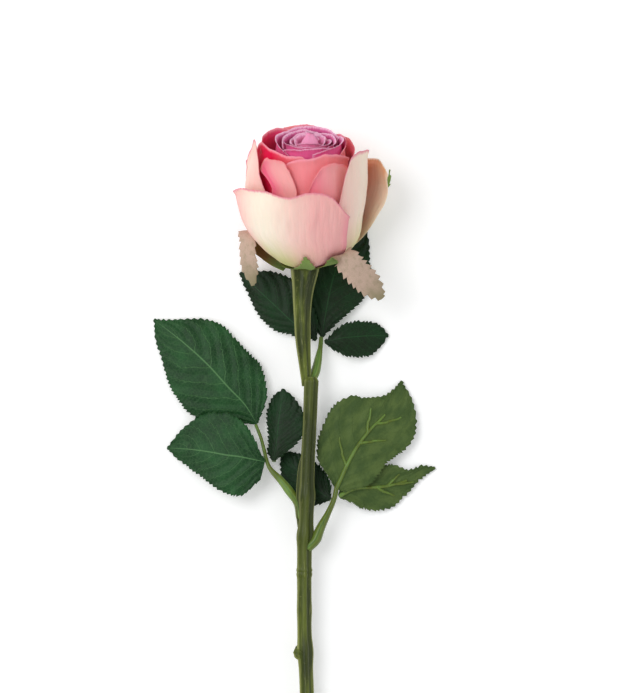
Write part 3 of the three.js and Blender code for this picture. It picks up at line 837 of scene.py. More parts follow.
def sepal_shapes():
    right_middle, right_sides = on_bowl(58, [1.2, 6, 11], 2.1)
    back_middle, back_sides = on_bowl(
        (-32, -32, -31, -27, -22), [1, 7, 14, 22, 29], 1.9, wing_flare
    )
    # Each is its middle points, its across directions and its widths.
    return {
        "sepal_left": (
            [(-10.6, 346.4, 17.4), (-18, 350.8, 16.7), (-25.4, 358.4, 17.4), (-28.2, 363.8, 20.6),
             (-29.6, 365.5, 25.2), (-29.3, 361.8, 29.6), (-29.2, 354, 29.4), (-28, 346, 26.4),
             (-26.2, 338.2, 23.4)],
            [(-0.2, -0.5, 1), (-0.3, -0.5, 1), (-0.7, -0.3, 0.8), (-1, -0.1, 0.3), (-1, 0, -0.1),
             (-0.9, 0, -0.4), (-0.9, 0, -0.4), (-1, 0, -0.2), (-1, 0, 0)],
            [6, 8, 8.6, 8.6, 8.8, 9, 9, 8.4, 2],
        ),
        "sepal_right": (
            [*right_middle, (18.6, 353, 47), (23, 347.6, 45.4), (31, 339.4, 39.4),
             (38.2, 331.8, 33.6)],
            [*right_sides, (-0.95, -0.2, 0.1), (-0.6, -0.8, 0), (-0.6, -0.8, 0),
             (-0.7, -0.7, 0)],
            [6.5, 9, 12, 13.6, 14, 12.5, 4],
        ),
        "sepal_front": (*on_bowl(93, [1, 5, 9, 13.5], 1.9), [9.5, 9.5, 6, 1]),
        "sepal_back_right": (
            [*back_middle, (39.6, 387.5, 22.5), (41.2, 391.6, 25.5), (41.8, 396, 27.5)],
            [*back_sides, (-0.3, 0, 0.95), (-0.8, 0, 0.5), (-0.9, 0, 0.4)],
            [6.5, 8.5, 9, 8.5, 7.5, 5.5, 4, 0.8],
        ),
        "sepal_back_left": (*on_bowl(238, [1, 6, 11, 17, 24], 1), [6.5, 8.5, 8, 5.5, 1]),
    }


def build_sepal(name, shape, material, seed, teeth, tooth_depth):
    rng = np.random.default_rng(seed)
    middle, sides, widths = shape
    t = np.linspace(0, 1, SEPAL_ROWS)
    centre, side, normal = place_frames(middle, sides, t)
    reach = np.linspace(-1, 1, SEPAL_COLUMNS)[None, :, None]
    half = eased(widths, t) / 2
    saw = np.stack([(t * teeth + offset) % 1.0 for offset in rng.uniform(0, 1, 2)])
    depth = tooth_depth * smooth(0.12, 0.4, t) * (0.8 + 0.3 * ripple(t * 8, rng, 3))
    edges = [half + 0.3 * depth - depth * (1 - saw[k]) for k in range(2)]
    left, right = (np.maximum(edge, 0.25)[:, None, None] for edge in edges)
    lateral = np.where(reach > 0, reach * left, reach * right)
    cup = 0.10 * half[:, None, None] * reach**2
    wave = 0.25 * ripple(t * 5, rng, 4)[:, None, None] * reach**2
    wave = wave * smooth(0.2, 0.5, t)[:, None, None]
    sheet = centre[:, None] + side[:, None] * lateral + normal[:, None] * (cup + wave)
    thick = SEPAL_HALF * (1 - 0.6 * smooth(0.85, 1, np.abs(reach)))
    above = sheet + normal[:, None] * thick
    below = sheet - normal[:, None] * thick
    grid = np.broadcast_to(t[:, None], (SEPAL_ROWS, SEPAL_COLUMNS))
    brown = 0.85 if name == "sepal_left" else 0.1
    length = np.linalg.norm(np.diff(centre, axis=0), axis=1).sum()
    uvs = np.stack([np.broadcast_to(lateral[..., 0], grid.shape), grid * length], axis=-1) * MM
    piece = cloth_sheet(name, below, above, (grid, np.abs(reach[..., 0]), brown), uvs)
    return finish_piece(piece, [name], material)


def build_calyx(material):
    profile = [(0.05, -4), (3.6, -4), (5.4, -3.9), (6.2, -3.2), (7, -2.6), (9.2, -1.3),
               (11.6, -0.5), (12.5, -0.1), (12.6, 0.25), (11.8, 0.32), (6, 0.3), (0.05, 0.3)]
    profile = np.array(profile)
    steps = 90
    angle = np.linspace(0, 2 * math.pi, steps, endpoint=False)[None, :]
    radius = profile[:, :1] * (1 + 0.035 * np.cos(5 * angle + 0.6) * smooth(4, 8, profile[:, :1]))
    across, lift = radius * np.cos(angle), radius * np.sin(angle)
    rise = np.broadcast_to(profile[:, 1:], across.shape)
    x = NECK[0] + across
    y = NECK[1] + rise * math.cos(HEAD_TILT) - lift * math.sin(HEAD_TILT)
    z = NECK[2] + rise * math.sin(HEAD_TILT) + lift * math.cos(HEAD_TILT)
    points = np.stack([x, y, z], axis=-1).reshape(-1, 3)
    rows = len(profile)
    faces = []
    for row in range(rows - 1):
        for k in range(steps):
            after = (k + 1) % steps
            low, high = row * steps, (row + 1) * steps
            faces.append((low + k, low + after, high + after, high + k))
    faces.append(tuple(range(steps))[::-1])
    faces.append(tuple((rows - 1) * steps + k for k in range(steps)))
    piece = mesh_piece("calyx", points, faces)
    return finish_piece(piece, ["calyx"], material)


# ------------------------------------------------------------------ leaves
def leaf(points, left, right, roll=0.0, cup=0.08):
    """left and right are half widths at even steps along the midrib."""
    return dict(points=points, left=left, right=right, roll=roll, cup=cup)


LEAVES = {
    "leaf_upper_left": leaf(
        [(5.2, 311, 6), (-5, 318.5, 5.6), (-18, 330.5, 4.2), (-33.2, 344.7, 0.9)],
        [0.5, 3, 6.5, 9.5, 10, 9, 6, 3, 0.2], [0.5, 9, 13, 15, 16, 15, 12, 6, 0.2], roll=8,
    ),
    "leaf_upper_right": leaf(
        [(8, 312.6, 5.4), (9.4, 321, 5), (11, 330.5, 4.2), (14, 343.5, 3), (19, 355.5, 1.9),
         (30, 368, 0.7)],
        [0.5, 9, 11.5, 13, 13.5, 11.5, 8, 4.5, 0.2], [0.5, 6.5, 12.5, 17.5, 19.5, 19, 16, 9, 0.2],
        roll=2,
    ),
    "leaf_upper_side": leaf(
        [(9.2, 310, 6.8), (18, 312, 7.6), (27, 312.9, 6), (34, 313.2, 3.6), (41.3, 313.3, 0.9)],
        [0.5, 3, 6, 7.5, 8, 7.5, 7, 5, 0.2], [0.5, 5.5, 9, 10, 10.5, 10.5, 9.5, 5.5, 0.2],
    ),
    "leaf_left_big": leaf(
        [(-24.6, 269, 7), (-30.5, 278.5, 7.2), (-39.5, 288, 7), (-49.5, 299, 5.6), (-62, 310.2, 3.4),
         (-76.25, 321.3, 0.9)],
        [0.6, 13.5, 20, 23.5, 23, 21, 15.5, 9, 0.2], [0.6, 12, 19, 19.5, 19, 19.5, 15.5, 6.5, 0.2],
        cup=0.12,
    ),
    "leaf_left_low": leaf(
        [(-20.6, 250.2, 13), (-24.5, 251, 13.8), (-32.5, 252.6, 13.8), (-40.5, 253.6, 12.4),
         (-50.5, 255.3, 9.4), (-60, 256.4, 5), (-69.6, 256.9, 0.9)],
        [9, 18, 20, 18.5, 15.5, 12.5, 9.5, 5.5, 0.2], [0.6, 9, 17, 20.5, 21, 19.5, 15.5, 8.5, 0.2],
        cup=0.05,
    ),
    "leaf_left_inner": leaf(
        [(-16.4, 250.6, 10.4), (-15, 258, 8), (-13.6, 271, 5.6), (-11.4, 286.6, 3)],
        [0.6, 4, 4.5, 5, 6, 7, 6.5, 4.5, 0.2], [0.6, 5, 10, 13, 14.5, 13.5, 10.5, 6, 0.2], roll=16,
    ),
    "leaf_right_big": leaf(
        [(15, 236.6, 9.6), (17.6, 242, 9.8), (20.75, 248.9, 9.6), (26.2, 258.5, 8.6),
         (32.8, 266.8, 7.2), (38.7, 272.6, 5.8), (44, 280.2, 3.8), (48.1, 290.5, 0.9)],
        [0.6, 13, 18.5, 20.5, 22, 17.5, 10.5, 4, 0.2], [4, 14, 16.5, 17, 18.5, 19.5, 17, 9, 0.2],
        roll=-3, cup=0.02,
    ),
    "leaf_right_low": leaf(
        [(16.4, 232.8, 8.4), (22.8, 236.2, 6.8), (28, 237.2, 6), (34.5, 237.3, 5), (41.2, 238, 3.8),
         (50.3, 240.6, 2.4), (64.75, 247, 0.9)],
        [0.6, 7, 9.5, 10, 10.5, 10, 5, 4, 0.2], [1, 9, 11, 12, 11.5, 8, 4, 1.5, 0.2],
        roll=-6, cup=0.03,
    ),
    "leaf_right_inner": leaf(
        [(12.2, 231.2, 7.4), (4, 237, 5.2), (-4, 245, 3.4), (-11.5, 255, 2)],
        [0.6, 6, 9, 10, 10, 9, 7.5, 4.5, 0.2], [0.6, 6, 9, 10, 10, 9, 7.5, 4.5, 0.2],
    ),
}
FACE_DOWN = ("leaf_right_big", "leaf_right_low")


def leaf_frame(shape, t):
    centre = spline(shape["points"], t)
    forward = unit(np.gradient(centre, axis=0))
    side = unit(np.stack([-forward[:, 1], forward[:, 0], np.zeros(len(t))], axis=-1))
    turn = math.radians(-shape["roll"])
    side = side * math.cos(turn) + np.cross(forward, side) * math.sin(turn)
    return centre, forward, side, np.cross(forward, side)


def build_leaf(name, shape, material, seed, teeth_per_metre, pairs):
    rng = np.random.default_rng(seed)
    centre_line = spline(shape["points"], np.linspace(0, 1, 60))
    length = np.linalg.norm(np.diff(centre_line, axis=0), axis=1).sum()
    teeth = max(16, int(length * MM * teeth_per_metre))
    rows, columns = teeth * ROWS_PER_TOOTH + 1, LEAF_COLUMNS
    t = np.linspace(0, 1, rows)
    centre, forward, side, normal = leaf_frame(shape, t)
    reach = np.linspace(-1, 1, columns)[None, :]
    halves = []
    for key in ("left", "right"):
        half = np.maximum(eased(shape[key], t), 0)
        phase = t * teeth + 0.25 * ripple(t * 9, rng, 3)
        saw = phase % 1.0
        size = 1.25 + 0.4 * ripple(t * 11, rng, 3)
        bite = size * (1 - saw) * smooth(0.0, 0.06, t) * smooth(0, 2.0, half)
        halves.append(half + 0.45 - bite)
    left, right = (np.maximum(half, 0.16)[:, None] for half in halves)
    lateral = np.where(reach > 0, reach * left, reach * right)
    half = np.where(reach > 0, left, right)
    along_share = np.broadcast_to(t[:, None], (rows, columns))
    across = np.abs(reach)
    lean = np.broadcast_to(across * np.where(reach > 0, left, right), (rows, columns))
    turns = (along_share - VEIN_LEAN * across**VEIN_CURVE) * pairs
    between = np.sin(math.pi * (turns % 1.0)) ** 0.7
    fade = smooth(0, 0.12, across) * smooth(0, 0.2, 1 - across * 0.9) * smooth(0, 3, lean)
    pucker = 0.7 * (between - 0.6) * fade
    droop = -shape["cup"] * half * across**2
    wave = 0.5 * ripple(np.broadcast_to(t[:, None] * 3, (rows, columns)), rng, 3)
    wave = wave * across**2 * smooth(0, 6, half)
    rise = np.exp(-((across / 0.05) ** 2)) * 0.22 * (1 - t[:, None])
    sheet = centre[:, None] + side[:, None] * lateral[..., None]
    sheet = sheet + normal[:, None] * (droop + wave + pucker + rise)[..., None]
    sheet = sheet + forward[:, None] * (0.2 * across * (1 - t[:, None]))[..., None]
    thick = (LEAF_HALF * (1 - 0.5 * smooth(0.9, 1, across)) * np.ones((rows, 1)))[..., None]
    above = sheet + normal[:, None] * thick
    below = sheet - normal[:, None] * thick
    above[..., 2] = np.maximum(above[..., 2], 0.4)
    below[..., 2] = np.maximum(below[..., 2], 0.05)
    under = 1.0 if name in FACE_DOWN else 0.0
    uvs = np.stack([lateral, along_share * length], axis=-1) * MM
    prints = (along_share, (reach + 1) / 2, 0.0)
    piece = cloth_sheet(name, below, above, prints, uvs, flipped=under)
    return finish_piece(piece, [name], material)


# ------------------------------------------------------------------ settings
def srgb(red, green, blue):
    """A colour written as 0 to 255 display values, as scene-linear numbers."""
    values = [v / 255 for v in (red, green, blue)]
    return tuple(v / 12.92 if v <= 0.04045 else ((v + 0.055) / 1.055) ** 2.4 for v in values)


def color_property(label, description, *display):
    return FloatVectorProperty(
        name=label, description=description, subtype="COLOR", size=3, min=0, max=1,
        default=srgb(*display),
    )


def length_property(label, description, default, most, least=0.0):
    return FloatProperty(
        name=label, description=description, default=default, min=least, max=most,
        subtype="DISTANCE", unit="LENGTH",
    )


class RoseColors(bpy.types.PropertyGroup):
    mauve_body: color_property("Mauve", "Outer face of the heart petals", 240, 104, 162)
    mauve_rim: color_property("Mauve Rim", "Pale edge of the heart petals", 246, 186, 214)
    mauve_inside: color_property("Mauve Inside", "Inner face of the heart petals", 214, 92, 150)
    mauve_deep: color_property("Wine", "Hollows of the heart petals", 212, 44, 108)
    coral_body: color_property("Coral", "Outer face of the middle petals", 250, 146, 152)
    coral_rim: color_property("Coral Rim", "Edge of the middle petals", 246, 150, 166)
    crimson: color_property("Crimson", "Strong red at the left of the middle petals", 232, 14, 74)
    blush_body: color_property("Blush", "Outer face of the blush petals", 244, 170, 168)
    blush_rim: color_property("Blush Rim", "Edge of the blush petals", 240, 140, 146)
    hot_pink: color_property("Hot Pink", "Strong pink by the edge of the blush petals", 240, 96, 134)
    cream: color_property("Cream", "Body of the guard petals", 249, 234, 214)
    cream_pink: color_property("Guard Pink", "Pink part of the guard petals", 243, 176, 173)
    cream_foot: color_property("Guard Foot", "Yellow-green foot of the guard petals", 206, 206, 130)
    guard_rim: color_property("Guard Rim", "Thin pink edge of the guard petals", 232, 140, 156)
    guard_inside: color_property("Guard Inside", "Inner face of the guard petals", 232, 192, 140)
    wing_brown: color_property("Wing Brown", "Inner face of the spread petal", 214, 134, 70)
    wing_fold: color_property("Wing Fold", "Low inner face of the spread petal", 236, 156, 66)
    sepal_green: color_property("Sepal Green", "Outer face of the sepals", 124, 154, 76)
    sepal_root: color_property("Sepal Root", "Inner face at the sepal's root", 118, 84, 40)
    sepal_blade: color_property("Sepal Blade", "Inner face of the sepal", 194, 168, 150)
    sepal_tip: color_property("Sepal Tip", "Inner face at the sepal's tip", 146, 136, 106)
    stem_light: color_property("Stem Light", "Lighter stem plastic", 92, 104, 30)
    # Stem Pale is also the colour of the painted highlights on the stem's flute crowns and of its pale
    # painted highlight streaks.
    stem_pale: color_property("Stem Pale", "Pale specks and draw marks on the stem", 146, 150, 84)
    # Stem Dark is also the colour of the painted shade in the stem's flute grooves and of its dark
    # painted shade streaks.
    stem_dark: color_property("Stem Dark", "Darker stem plastic", 44, 54, 8)
    leaf_light: color_property("Leaf Light", "Paler leaf green", 35, 82, 41)
    leaf_body: color_property("Leaf Body", "Leaf green", 16, 54, 22)
    leaf_shade: color_property("Leaf Shade", "Darkest leaf green", 18, 34, 14)
    leaf_vein: color_property("Leaf Vein", "Veins on the upper face of a leaf", 92, 136, 84)
    leaf_back: color_property("Leaf Back", "Matt back of a leaf", 84, 104, 52)
    rib_green: color_property("Rib Green", "Moulded ribs and leaf stalks", 112, 146, 66)


class RoseSettings(bpy.types.PropertyGroup):
    petal_detail: FloatProperty(
        name="Petal Detail", description="Columns of petal mesh to each degree",
        default=0.7, min=0.3, max=1.2,
    )
    fray: length_property("Fray", "Unevenness of the cut petal rims", 0.00009, 0.001)
    rim_wave: length_property("Rim Wave", "Rise and fall of a petal's rim", 0.0006, 0.003)
    rim_roll: length_property("Rim Roll", "How far a petal's rim turns outward", 0.0011, 0.004)
    tooth_spacing: length_property(
        "Tooth Spacing", "Distance between teeth along a leaf", 0.00215, 0.005, 0.001
    )
    vein_pairs: IntProperty(
        name="Vein Pairs", description="Side veins each side of a leaf", default=7, min=4, max=16
    )
    flute_depth: FloatProperty(
        name="Flute Depth", description="Depth of the stem's flutes as a share of its radius",
        default=0.16, min=0, max=0.3,
    )
    view_height: length_property(
        "View Height", "Height of the table the camera takes in", 0.3465, 2, 0.1
    )
    key_power: FloatProperty(
        name="Key Power", description="Power of the large soft light", default=12.0, min=0,
        max=200, subtype="POWER", unit="POWER",
    )
    sky: FloatProperty(
        name="Sky", description="Strength of the even pale light all round",
        default=0.6, min=0, max=3,
    )


def settings():
    return bpy.context.scene.rose_settings


def tint(name):
    return plain(getattr(bpy.context.scene.rose_colors, name))


def all_made(pieces):
    if not pieces or any(len(piece.data.polygons) == 0 for piece in pieces):
        raise RuntimeError("a piece came out with no faces")
    return {"FINISHED"}


# ------------------------------------------------------------------ operators
def petal_look(**changes):
    given = settings()
    look = dict(
        detail=given.petal_detail, fray=given.fray / MM, wave=given.rim_wave / MM,
        roll=given.rim_roll / MM, roll_share=0.12, swell=0.35, buckle=0.16, edge_lift=0.25,
        wrinkle=0.06, blush=[0, 0],
    )
    look.update(changes)
    return look


def build_petals(shapes, seed, look, material, blush=None, finish=None):
    """blush and finish hold what differs for a named petal."""
    pieces = []
    for index, (name, shape) in enumerate(shapes.items()):
        if blush:
            shape = {**shape, "blush": blush.get(name, look["blush"])}
        own = (finish or {}).get(name, material)
        pieces.append(build_petal(name, shape, own, seed + index, look))
    return all_made(pieces)


class ROSE_OT_heart_petals(bpy.types.Operator):
    """Builds the mauve bud and the rings of petals round it"""

    bl_idname = "rose.heart_petals"
    bl_label = "Heart Petals"

    def execute(self, context):
        mauve, rim, deep = tint("mauve_body"), tint("mauve_rim"), tint("mauve_deep")
        colors = (deep, mauve, rim, rim, tint("mauve_inside"))
        material = petal_material("petal_mauve", colors, 0.6, 0.035)
        look = petal_look(
            roll=1.3, roll_share=0.05, wave=0.35, buckle=0.1, edge_lift=0.1, wrinkle=0.03
        )
        paler = {"bud_petal": 0.6, "heart_petal": 0.4, "inner_petal": 0.25}
        shares = {name: [paler.get(name.rstrip("_1234"), 0.0)] * 2 for name in MAUVE}
        return build_petals(MAUVE, 11, look, material, shares)


class ROSE_OT_coral_petals(bpy.types.Operator):
    """Builds the coral petals, crimson towards one side"""

    bl_idname = "rose.coral_petals"
    bl_label = "Coral Petals"

    def execute(self, context):
        body, rim, crimson = tint("coral_body"), tint("coral_rim"), tint("crimson")
        colors = (rim, body, crimson, rim, tint("mauve_body"))
        material = petal_material("petal_coral", colors, 0.5, 0.045)
        look = petal_look(wrinkle=0.08, buckle=0.2)
        blush = {"coral_petal_left": [0, 0.1, 0.6, 1, 1, 1], "coral_petal_back": [1, 0.9, 0.6, 0.3]}
        return build_petals(CORAL, 41, look, material, blush)


class ROSE_OT_blush_petals(bpy.types.Operator):
    """Builds the blush petals"""

    bl_idname = "rose.blush_petals"
    bl_label = "Blush Petals"

    def execute(self, context):
        body, rim, hot = tint("blush_body"), tint("blush_rim"), tint("hot_pink")
        colors = (body, body, hot, rim, tint("coral_body"))
        material = petal_material("petal_blush", colors, 0.5, 0.045)
        look = petal_look(blush=[0, 0.05, 0.2, 0.6, 1], wrinkle=0.09, buckle=0.2)
        return build_petals(BLUSH, 61, look, material)


class ROSE_OT_guard_petals(bpy.types.Operator):
    """Builds the cream outer petals with their pink edges"""

    bl_idname = "rose.guard_petals"
    bl_label = "Guard Petals"

    def execute(self, context):
        cream, foot, pink = tint("cream"), tint("cream_foot"), tint("cream_pink")
        colors = (foot, cream, pink, tint("guard_rim"), tint("guard_inside"))
        material = petal_material("petal_cream", colors, 0.5, 0.045, crease=0.0006)
        blush = {
            "guard_petal_front": [1, 1, 0.9, 0.6, 0.2, 0, 0.4, 0.9, 1, 1],
            "guard_petal_right": [0.6, 0.2, 0.1, 0.15, 0.3, 0.5, 0.8],
            "guard_petal_left": [0.6, 0.7, 0.5, 0.4, 0.4],
            "guard_petal_outer": [0.9, 1, 1, 0.9],
            "guard_petal_wing": [0, 0, 0.05, 0.2, 0.55, 0.8, 0.9],
        }
        colors = (tint("wing_fold"), cream, cream, cream, tint("wing_brown"))
        wing = petal_material("petal_wing", colors, 0.75, 0.03, crease=0.0005)
        look = petal_look(buckle=0.3, edge_lift=0.4, wrinkle=0.2, blush=[0.4, 0.4])
        finish = {"guard_petal_wing": wing}
        return build_petals(GUARD, 81, look, material, blush, finish)


class ROSE_OT_calyx(bpy.types.Operator):
    """Builds the cup under the bloom"""

    bl_idname = "rose.calyx"
    bl_label = "Calyx"

    def execute(self, context):
        colors = [tint(name) for name in ("stem_light", "stem_dark", "rib_green")]
        # rib_green is the colour of the calyx's painted highlight streaks.
        material = mould_material("calyx_green", *colors, 0.1)
        return all_made([build_calyx(material)])


class ROSE_OT_sepals(bpy.types.Operator):
    """Builds the five cloth sepals"""

    bl_idname = "rose.sepals"
    bl_label = "Sepals"

    def execute(self, context):
        names = ("sepal_green", "sepal_root", "sepal_blade", "sepal_tip")
        material = sepal_material("sepal_cloth", [tint(name) for name in names])
        teeth = {"sepal_right": 15, "sepal_left": 16, "sepal_front": 7}
        depth = {"sepal_right": 2.4}
        return all_made([
            build_sepal(name, shape, material, 101 + index, teeth.get(name, 12), depth.get(name, 1.3))
            for index, (name, shape) in enumerate(sepal_shapes().items())
        ])


class ROSE_OT_stem(bpy.types.Operator):
    """Builds the three moulded lengths of stem"""

    bl_idname = "rose.stem"
    bl_label = "Stem"

    def execute(self, context):
        span = (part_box("stem_middle")[0][1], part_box("stem_middle")[1][1])
        colors = [tint(name) for name in ("stem_light", "stem_dark", "stem_pale")]
        material = mould_material("moulded_stem", *colors, 0.08, dark_span=span)
        flutes = settings().flute_depth
        y = np.linspace(0.0, SEAM_Y - 0.02, 420)
        base = along([3.3, 3.2, 3.25, 3.2, 3.3], y / SEAM_Y)
        base = base + hump(y, SEAM_Y - 1.2, 1.1, 0.35)
        base = base + hump(y, 155, 6, 0.5) + hump(y, 176, 4, 0.2)
        base = base - 0.5 * (1 - smooth(0, 0.7, y))
        share = np.linspace(0, 1, 24)
        knob = spline(
            [(-1.6, 153, 10.4), (-3.2, 154.4, 10.5), (-4.6, 155.4, 10.6), (-5.9, 156, 10.6)], share
        )
        knob_lines = (knob, eased([3.0, 3.4, 3.1, 1.6], share))
        sections = [("stem_base", [(stem_points(y), base), knob_lines])]
        y = np.linspace(SEAM_Y, UPPER_NODE_Y - 0.3, 260)
        middle = along([3.35, 3.3, 3.2, 3.1, 3.3], (y - SEAM_Y) / (UPPER_NODE_Y - SEAM_Y))
        middle = middle + hump(y, SEAM_Y + 0.9, 0.9, 0.3)
        middle = middle + hump(y, 213, 4.5, 0.7) + hump(y, 233, 4.5, 0.6)
        middle = middle - 0.9 * smooth(UPPER_NODE_Y - 2.6, UPPER_NODE_Y - 0.4, y)
        share = np.linspace(0, 1, 60)
        tube = spline(
            [(-2.2, 212, 13), (-3.3, 222, 13.8), (-3.6, 232, 14.4), (-2.9, 246, 14.9),
             (-1, 256, 14.8)],
            share,
        )
        tube_lines = (tube, along([1.2, 1.6, 1.5, 1.3, 0.6], share))
        sections.append(("stem_middle", [(stem_points(y), middle), tube_lines]))
        top = NECK[1] - 2.4
        y = np.linspace(NECK_START, top, 180)
        neck = eased([2.2, 2.8, 3.5, 3.9, 4.8, 6.6], (y - NECK_START) / (top - NECK_START))
        sections.append(("stem_neck", [(stem_points(y, NECK_HEIGHTS, NECK_MIDDLES), neck)]))
        pieces = []
        for index, (name, lines) in enumerate(sections):
            looks = {"Flute Depth": flutes, "Seed": 3.0 + index}
            piece = swept_piece(name, lines, material, **looks)
            pieces.append(finish_piece(piece, [name], material))
        return all_made(pieces)


PETIOLES = {
    "petiole_upper": (
        [(2.6, 290.5, 14.6), (4.6, 295, 12.6), (6.2, 302, 9.6), (7.2, 308, 7.2), (7.6, 312.4, 6)],
        [1.9, 2.3, 1.9, 1.2, 1],
    ),
    "petiole_left": (
        [(-2.8, 222, 13.4), (-4.4, 229.5, 13.8), (-8, 235, 13.6), (-12.4, 240.6, 13),
         (-18.4, 247.4, 12.2), (-21, 256, 9.4), (-22.6, 262, 7.6), (-25.2, 268.6, 6.4)],
        [1.6, 1.9, 2.2, 1.7, 1.0, 0.85, 0.8, 0.8],
    ),
    "petiole_right": (
        [(0.4, 207, 12.8), (4.4, 210.6, 12.8), (7.2, 217, 12.3), (10.8, 224, 11.3), (14, 231.2, 10.5),
         (15.2, 237, 10)],
        [2.0, 2.6, 2.1, 1.5, 1.2, 1.1],
    ),
}
RIBS = {
    "petiole_upper": ("leaf_upper_left", "leaf_upper_right", "leaf_upper_side"),
    "petiole_left": ("leaf_left_big", "leaf_left_low", "leaf_left_inner"),
    "petiole_right": ("leaf_right_big", "leaf_right_low", "leaf_right_inner"),
}
# Places along a midrib where a rib can start or bend.
RIB_STEPS = 120


def rib_lines(leaf_name):
    """A midrib and its side ribs on the matt back of one leaf, ending short of its edge."""
    shape = LEAVES[leaf_name]
    t = np.linspace(0, 0.7, 50)
    centre, _, side, normal = leaf_frame(shape, np.linspace(0, 1, RIB_STEPS))
    lift = 0.5 if leaf_name in FACE_DOWN else -1.25
    pick = np.interp(t, np.linspace(0, 1, RIB_STEPS), np.arange(RIB_STEPS)).astype(int)
    lines = [(centre[pick] + normal[pick] * lift, along([1.05, 0.9, 0.75, 0.5], t / 0.7))]
    for share, hand, reach in ((0.2, 1, 0.5), (0.4, -1, 0.5), (0.5, 1, 0.42), (0.6, -1, 0.4)):
        start = int(share * (RIB_STEPS - 1))
        half = float(eased(shape["left" if hand > 0 else "right"], share + 0.12))
        s = np.linspace(0, 1, 18)
        steps = start + (s * 0.16 * (RIB_STEPS - 1)).astype(int)
        steps = np.minimum(steps, RIB_STEPS - 1)
        out = hand * reach * half * s
        rise = lift - shape["cup"] * half * (reach * s) ** 2 + 0.05
        line = centre[steps] + side[steps] * out[:, None] + normal[steps] * rise[:, None]
        lines.append((line, along([0.7, 0.6, 0.35], s)))
    return lines


class ROSE_OT_leaf_stalks(bpy.types.Operator):
    """Builds the moulded leaf stalks with the ribs that carry each leaf"""

    bl_idname = "rose.leaf_stalks"
    bl_label = "Leaf Stalks"

    def execute(self, context):
        colors = [tint(name) for name in ("rib_green", "stem_light", "leaf_light")]
        # leaf_light is the colour of the painted highlights on the stalks' flute crowns and streaks;
        # stem_light also colours their painted groove shade.
        material = mould_material("moulded_petiole", *colors, 0.25)
        pieces = []
        for index, (name, (points, radii)) in enumerate(PETIOLES.items()):
            t = np.linspace(0, 1, 60)
            thick = along(radii, t) + 0.5 * hump(t, 0.02, 0.06, 1.0)
            lines = [(spline(points, t), thick)]
            for leaf_name in RIBS[name]:
                lines += rib_lines(leaf_name)
            looks = {
                "Sides": 16, "Flute Depth": 0.04, "Flutes": 4.0, "Seed": 9.0 + index,
                "Lump Height": 0.0001,
            }
            piece = swept_piece(name, lines, material, **looks)
            pieces.append(finish_piece(piece, [name], material))
        return all_made(pieces)


class ROSE_OT_leaves(bpy.types.Operator):
    """Builds the nine serrated cloth leaves"""

    bl_idname = "rose.leaves"
    bl_label = "Leaves"

    def execute(self, context):
        given = settings()
        names = ("leaf_light", "leaf_body", "leaf_shade", "leaf_back", "leaf_vein")
        light, body, shade, back, vein = (tint(name) for name in names)
        pairs = float(given.vein_pairs)
        materials = {
            "leaf_green": leaf_material("leaf_green", (body, light, vein, back), pairs, 0.42),
            "leaf_dark": leaf_material("leaf_dark", (shade, body, light, back), pairs, 0.42),
            "leaf_underside": leaf_material("leaf_underside", (body, light, light, back), pairs, 0.6),
        }
        pieces = []
        for index, (name, shape) in enumerate(LEAVES.items()):
            slot = "leaf_dark"
            if name in ("leaf_left_big", "leaf_left_low"):
                slot = "leaf_green"
            if name in FACE_DOWN:
                slot = "leaf_underside"
            pieces.append(build_leaf(
                name, shape, materials[slot], 131 + index, 1 / given.tooth_spacing, pairs
            ))
        return all_made(pieces)


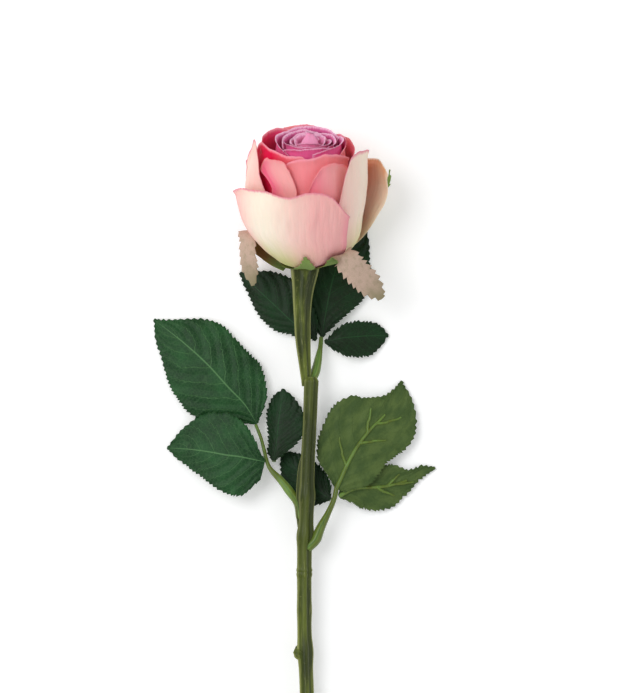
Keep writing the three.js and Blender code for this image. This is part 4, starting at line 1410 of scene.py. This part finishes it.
class ROSE_OT_stage(bpy.types.Operator):
    """Sets the pale floor, the soft lights and the camera that looks straight down"""

    bl_idname = "rose.stage"
    bl_label = "Stage"

    def execute(self, context):
        given = settings()
        scene = context.scene
        low, high = START_BOUNDS
        sheet = bpy.data.meshes.new("floor")
        floor_corners = [
            (x * FLOOR_HALF, y * FLOOR_HALF, low[2] - FLOOR_DROP)
            for x, y in ((-1, -1), (1, -1), (1, 1), (-1, 1))
        ]
        sheet.from_pydata(floor_corners, [], [(0, 1, 2, 3)])
        floor = link_object("floor", sheet)
        material, _, sockets = new_material("floor_white", 0.9)
        sockets["Base Color"].default_value = (0.93, 0.93, 0.93, 1)
        sockets["Emission Color"].default_value = WHITE
        sockets["Emission Strength"].default_value = 0.2
        floor.data.materials.append(material)

        middle = Vector([(low[k] + high[k]) / 2 for k in range(3)])
        lights = (
            ("key_light", (-0.75, 0.55, 1.5), 1.0, given.key_power),
            ("side_light", (-1.3, -0.2, 0.7), 0.7, given.key_power * 0.25),
            ("fill_light", (1.3, -0.3, 1.1), 1.2, given.key_power * 0.2),
        )
        for name, offset, size, power in lights:
            data = bpy.data.lights.new(name, "AREA")
            data.shape = "DISK"
            data.size = size
            data.energy = power
            lamp = link_object(name, data)
            lamp.location = middle + Vector(offset)
            lamp.rotation_euler = (-Vector(offset)).to_track_quat("-Z", "Y").to_euler()

        world = bpy.data.worlds.new("pale_room")
        world.use_nodes = True
        background = world.node_tree.nodes["Background"]
        background.inputs[0].default_value = (0.98, 0.99, 1.0, 1)
        background.inputs[1].default_value = given.sky
        scene.world = world
        scene.view_settings.view_transform = "Standard"

        data = bpy.data.cameras.new("camera")
        data.lens = CAMERA_LENS
        data.sensor_width = CAMERA_SENSOR
        data.clip_end = 20
        camera = link_object("camera", data)
        distance = given.view_height * data.lens / data.sensor_width
        aim = placed([CAMERA_AIM])[0]
        camera.location = (aim[0], aim[1], aim[2] + distance)
        scene.camera = camera
        return {"FINISHED"}


OPERATORS = (
    ROSE_OT_heart_petals, ROSE_OT_coral_petals, ROSE_OT_blush_petals, ROSE_OT_guard_petals,
    ROSE_OT_calyx, ROSE_OT_sepals, ROSE_OT_stem, ROSE_OT_leaf_stalks, ROSE_OT_leaves, ROSE_OT_stage,
)


class ROSE_PT_panel(bpy.types.Panel):
    """Lists the steps that build the rose, and what can be changed about it"""

    bl_idname = "ROSE_PT_panel"
    bl_label = "Cut Rose"
    bl_space_type = "VIEW_3D"
    bl_region_type = "UI"
    bl_category = "Rose"

    def draw(self, context):
        column = self.layout.column(align=True)
        for operator in OPERATORS:
            column.operator(operator.bl_idname)
        for holder in (context.scene.rose_settings, context.scene.rose_colors):
            box = self.layout.box()
            for name in holder.bl_rna.properties.keys():
                if name not in ("rna_type", "name"):
                    box.prop(holder, name)


CLASSES = (RoseColors, RoseSettings, *OPERATORS, ROSE_PT_panel)


def register():
    for item in CLASSES:
        bpy.utils.register_class(item)
    bpy.types.Scene.rose_colors = PointerProperty(type=RoseColors)
    bpy.types.Scene.rose_settings = PointerProperty(type=RoseSettings)


def unregister():
    del bpy.types.Scene.rose_settings
    del bpy.types.Scene.rose_colors
    for item in reversed(CLASSES):
        bpy.utils.unregister_class(item)


def corners(bounds):
    return [[float(number) for number in corner] for corner in bounds]


def main():
    register()
    for operator in OPERATORS:
        group, name = operator.bl_idname.split(".")
        getattr(getattr(bpy.ops, group), name)()


if __name__ == "__main__":
    main()
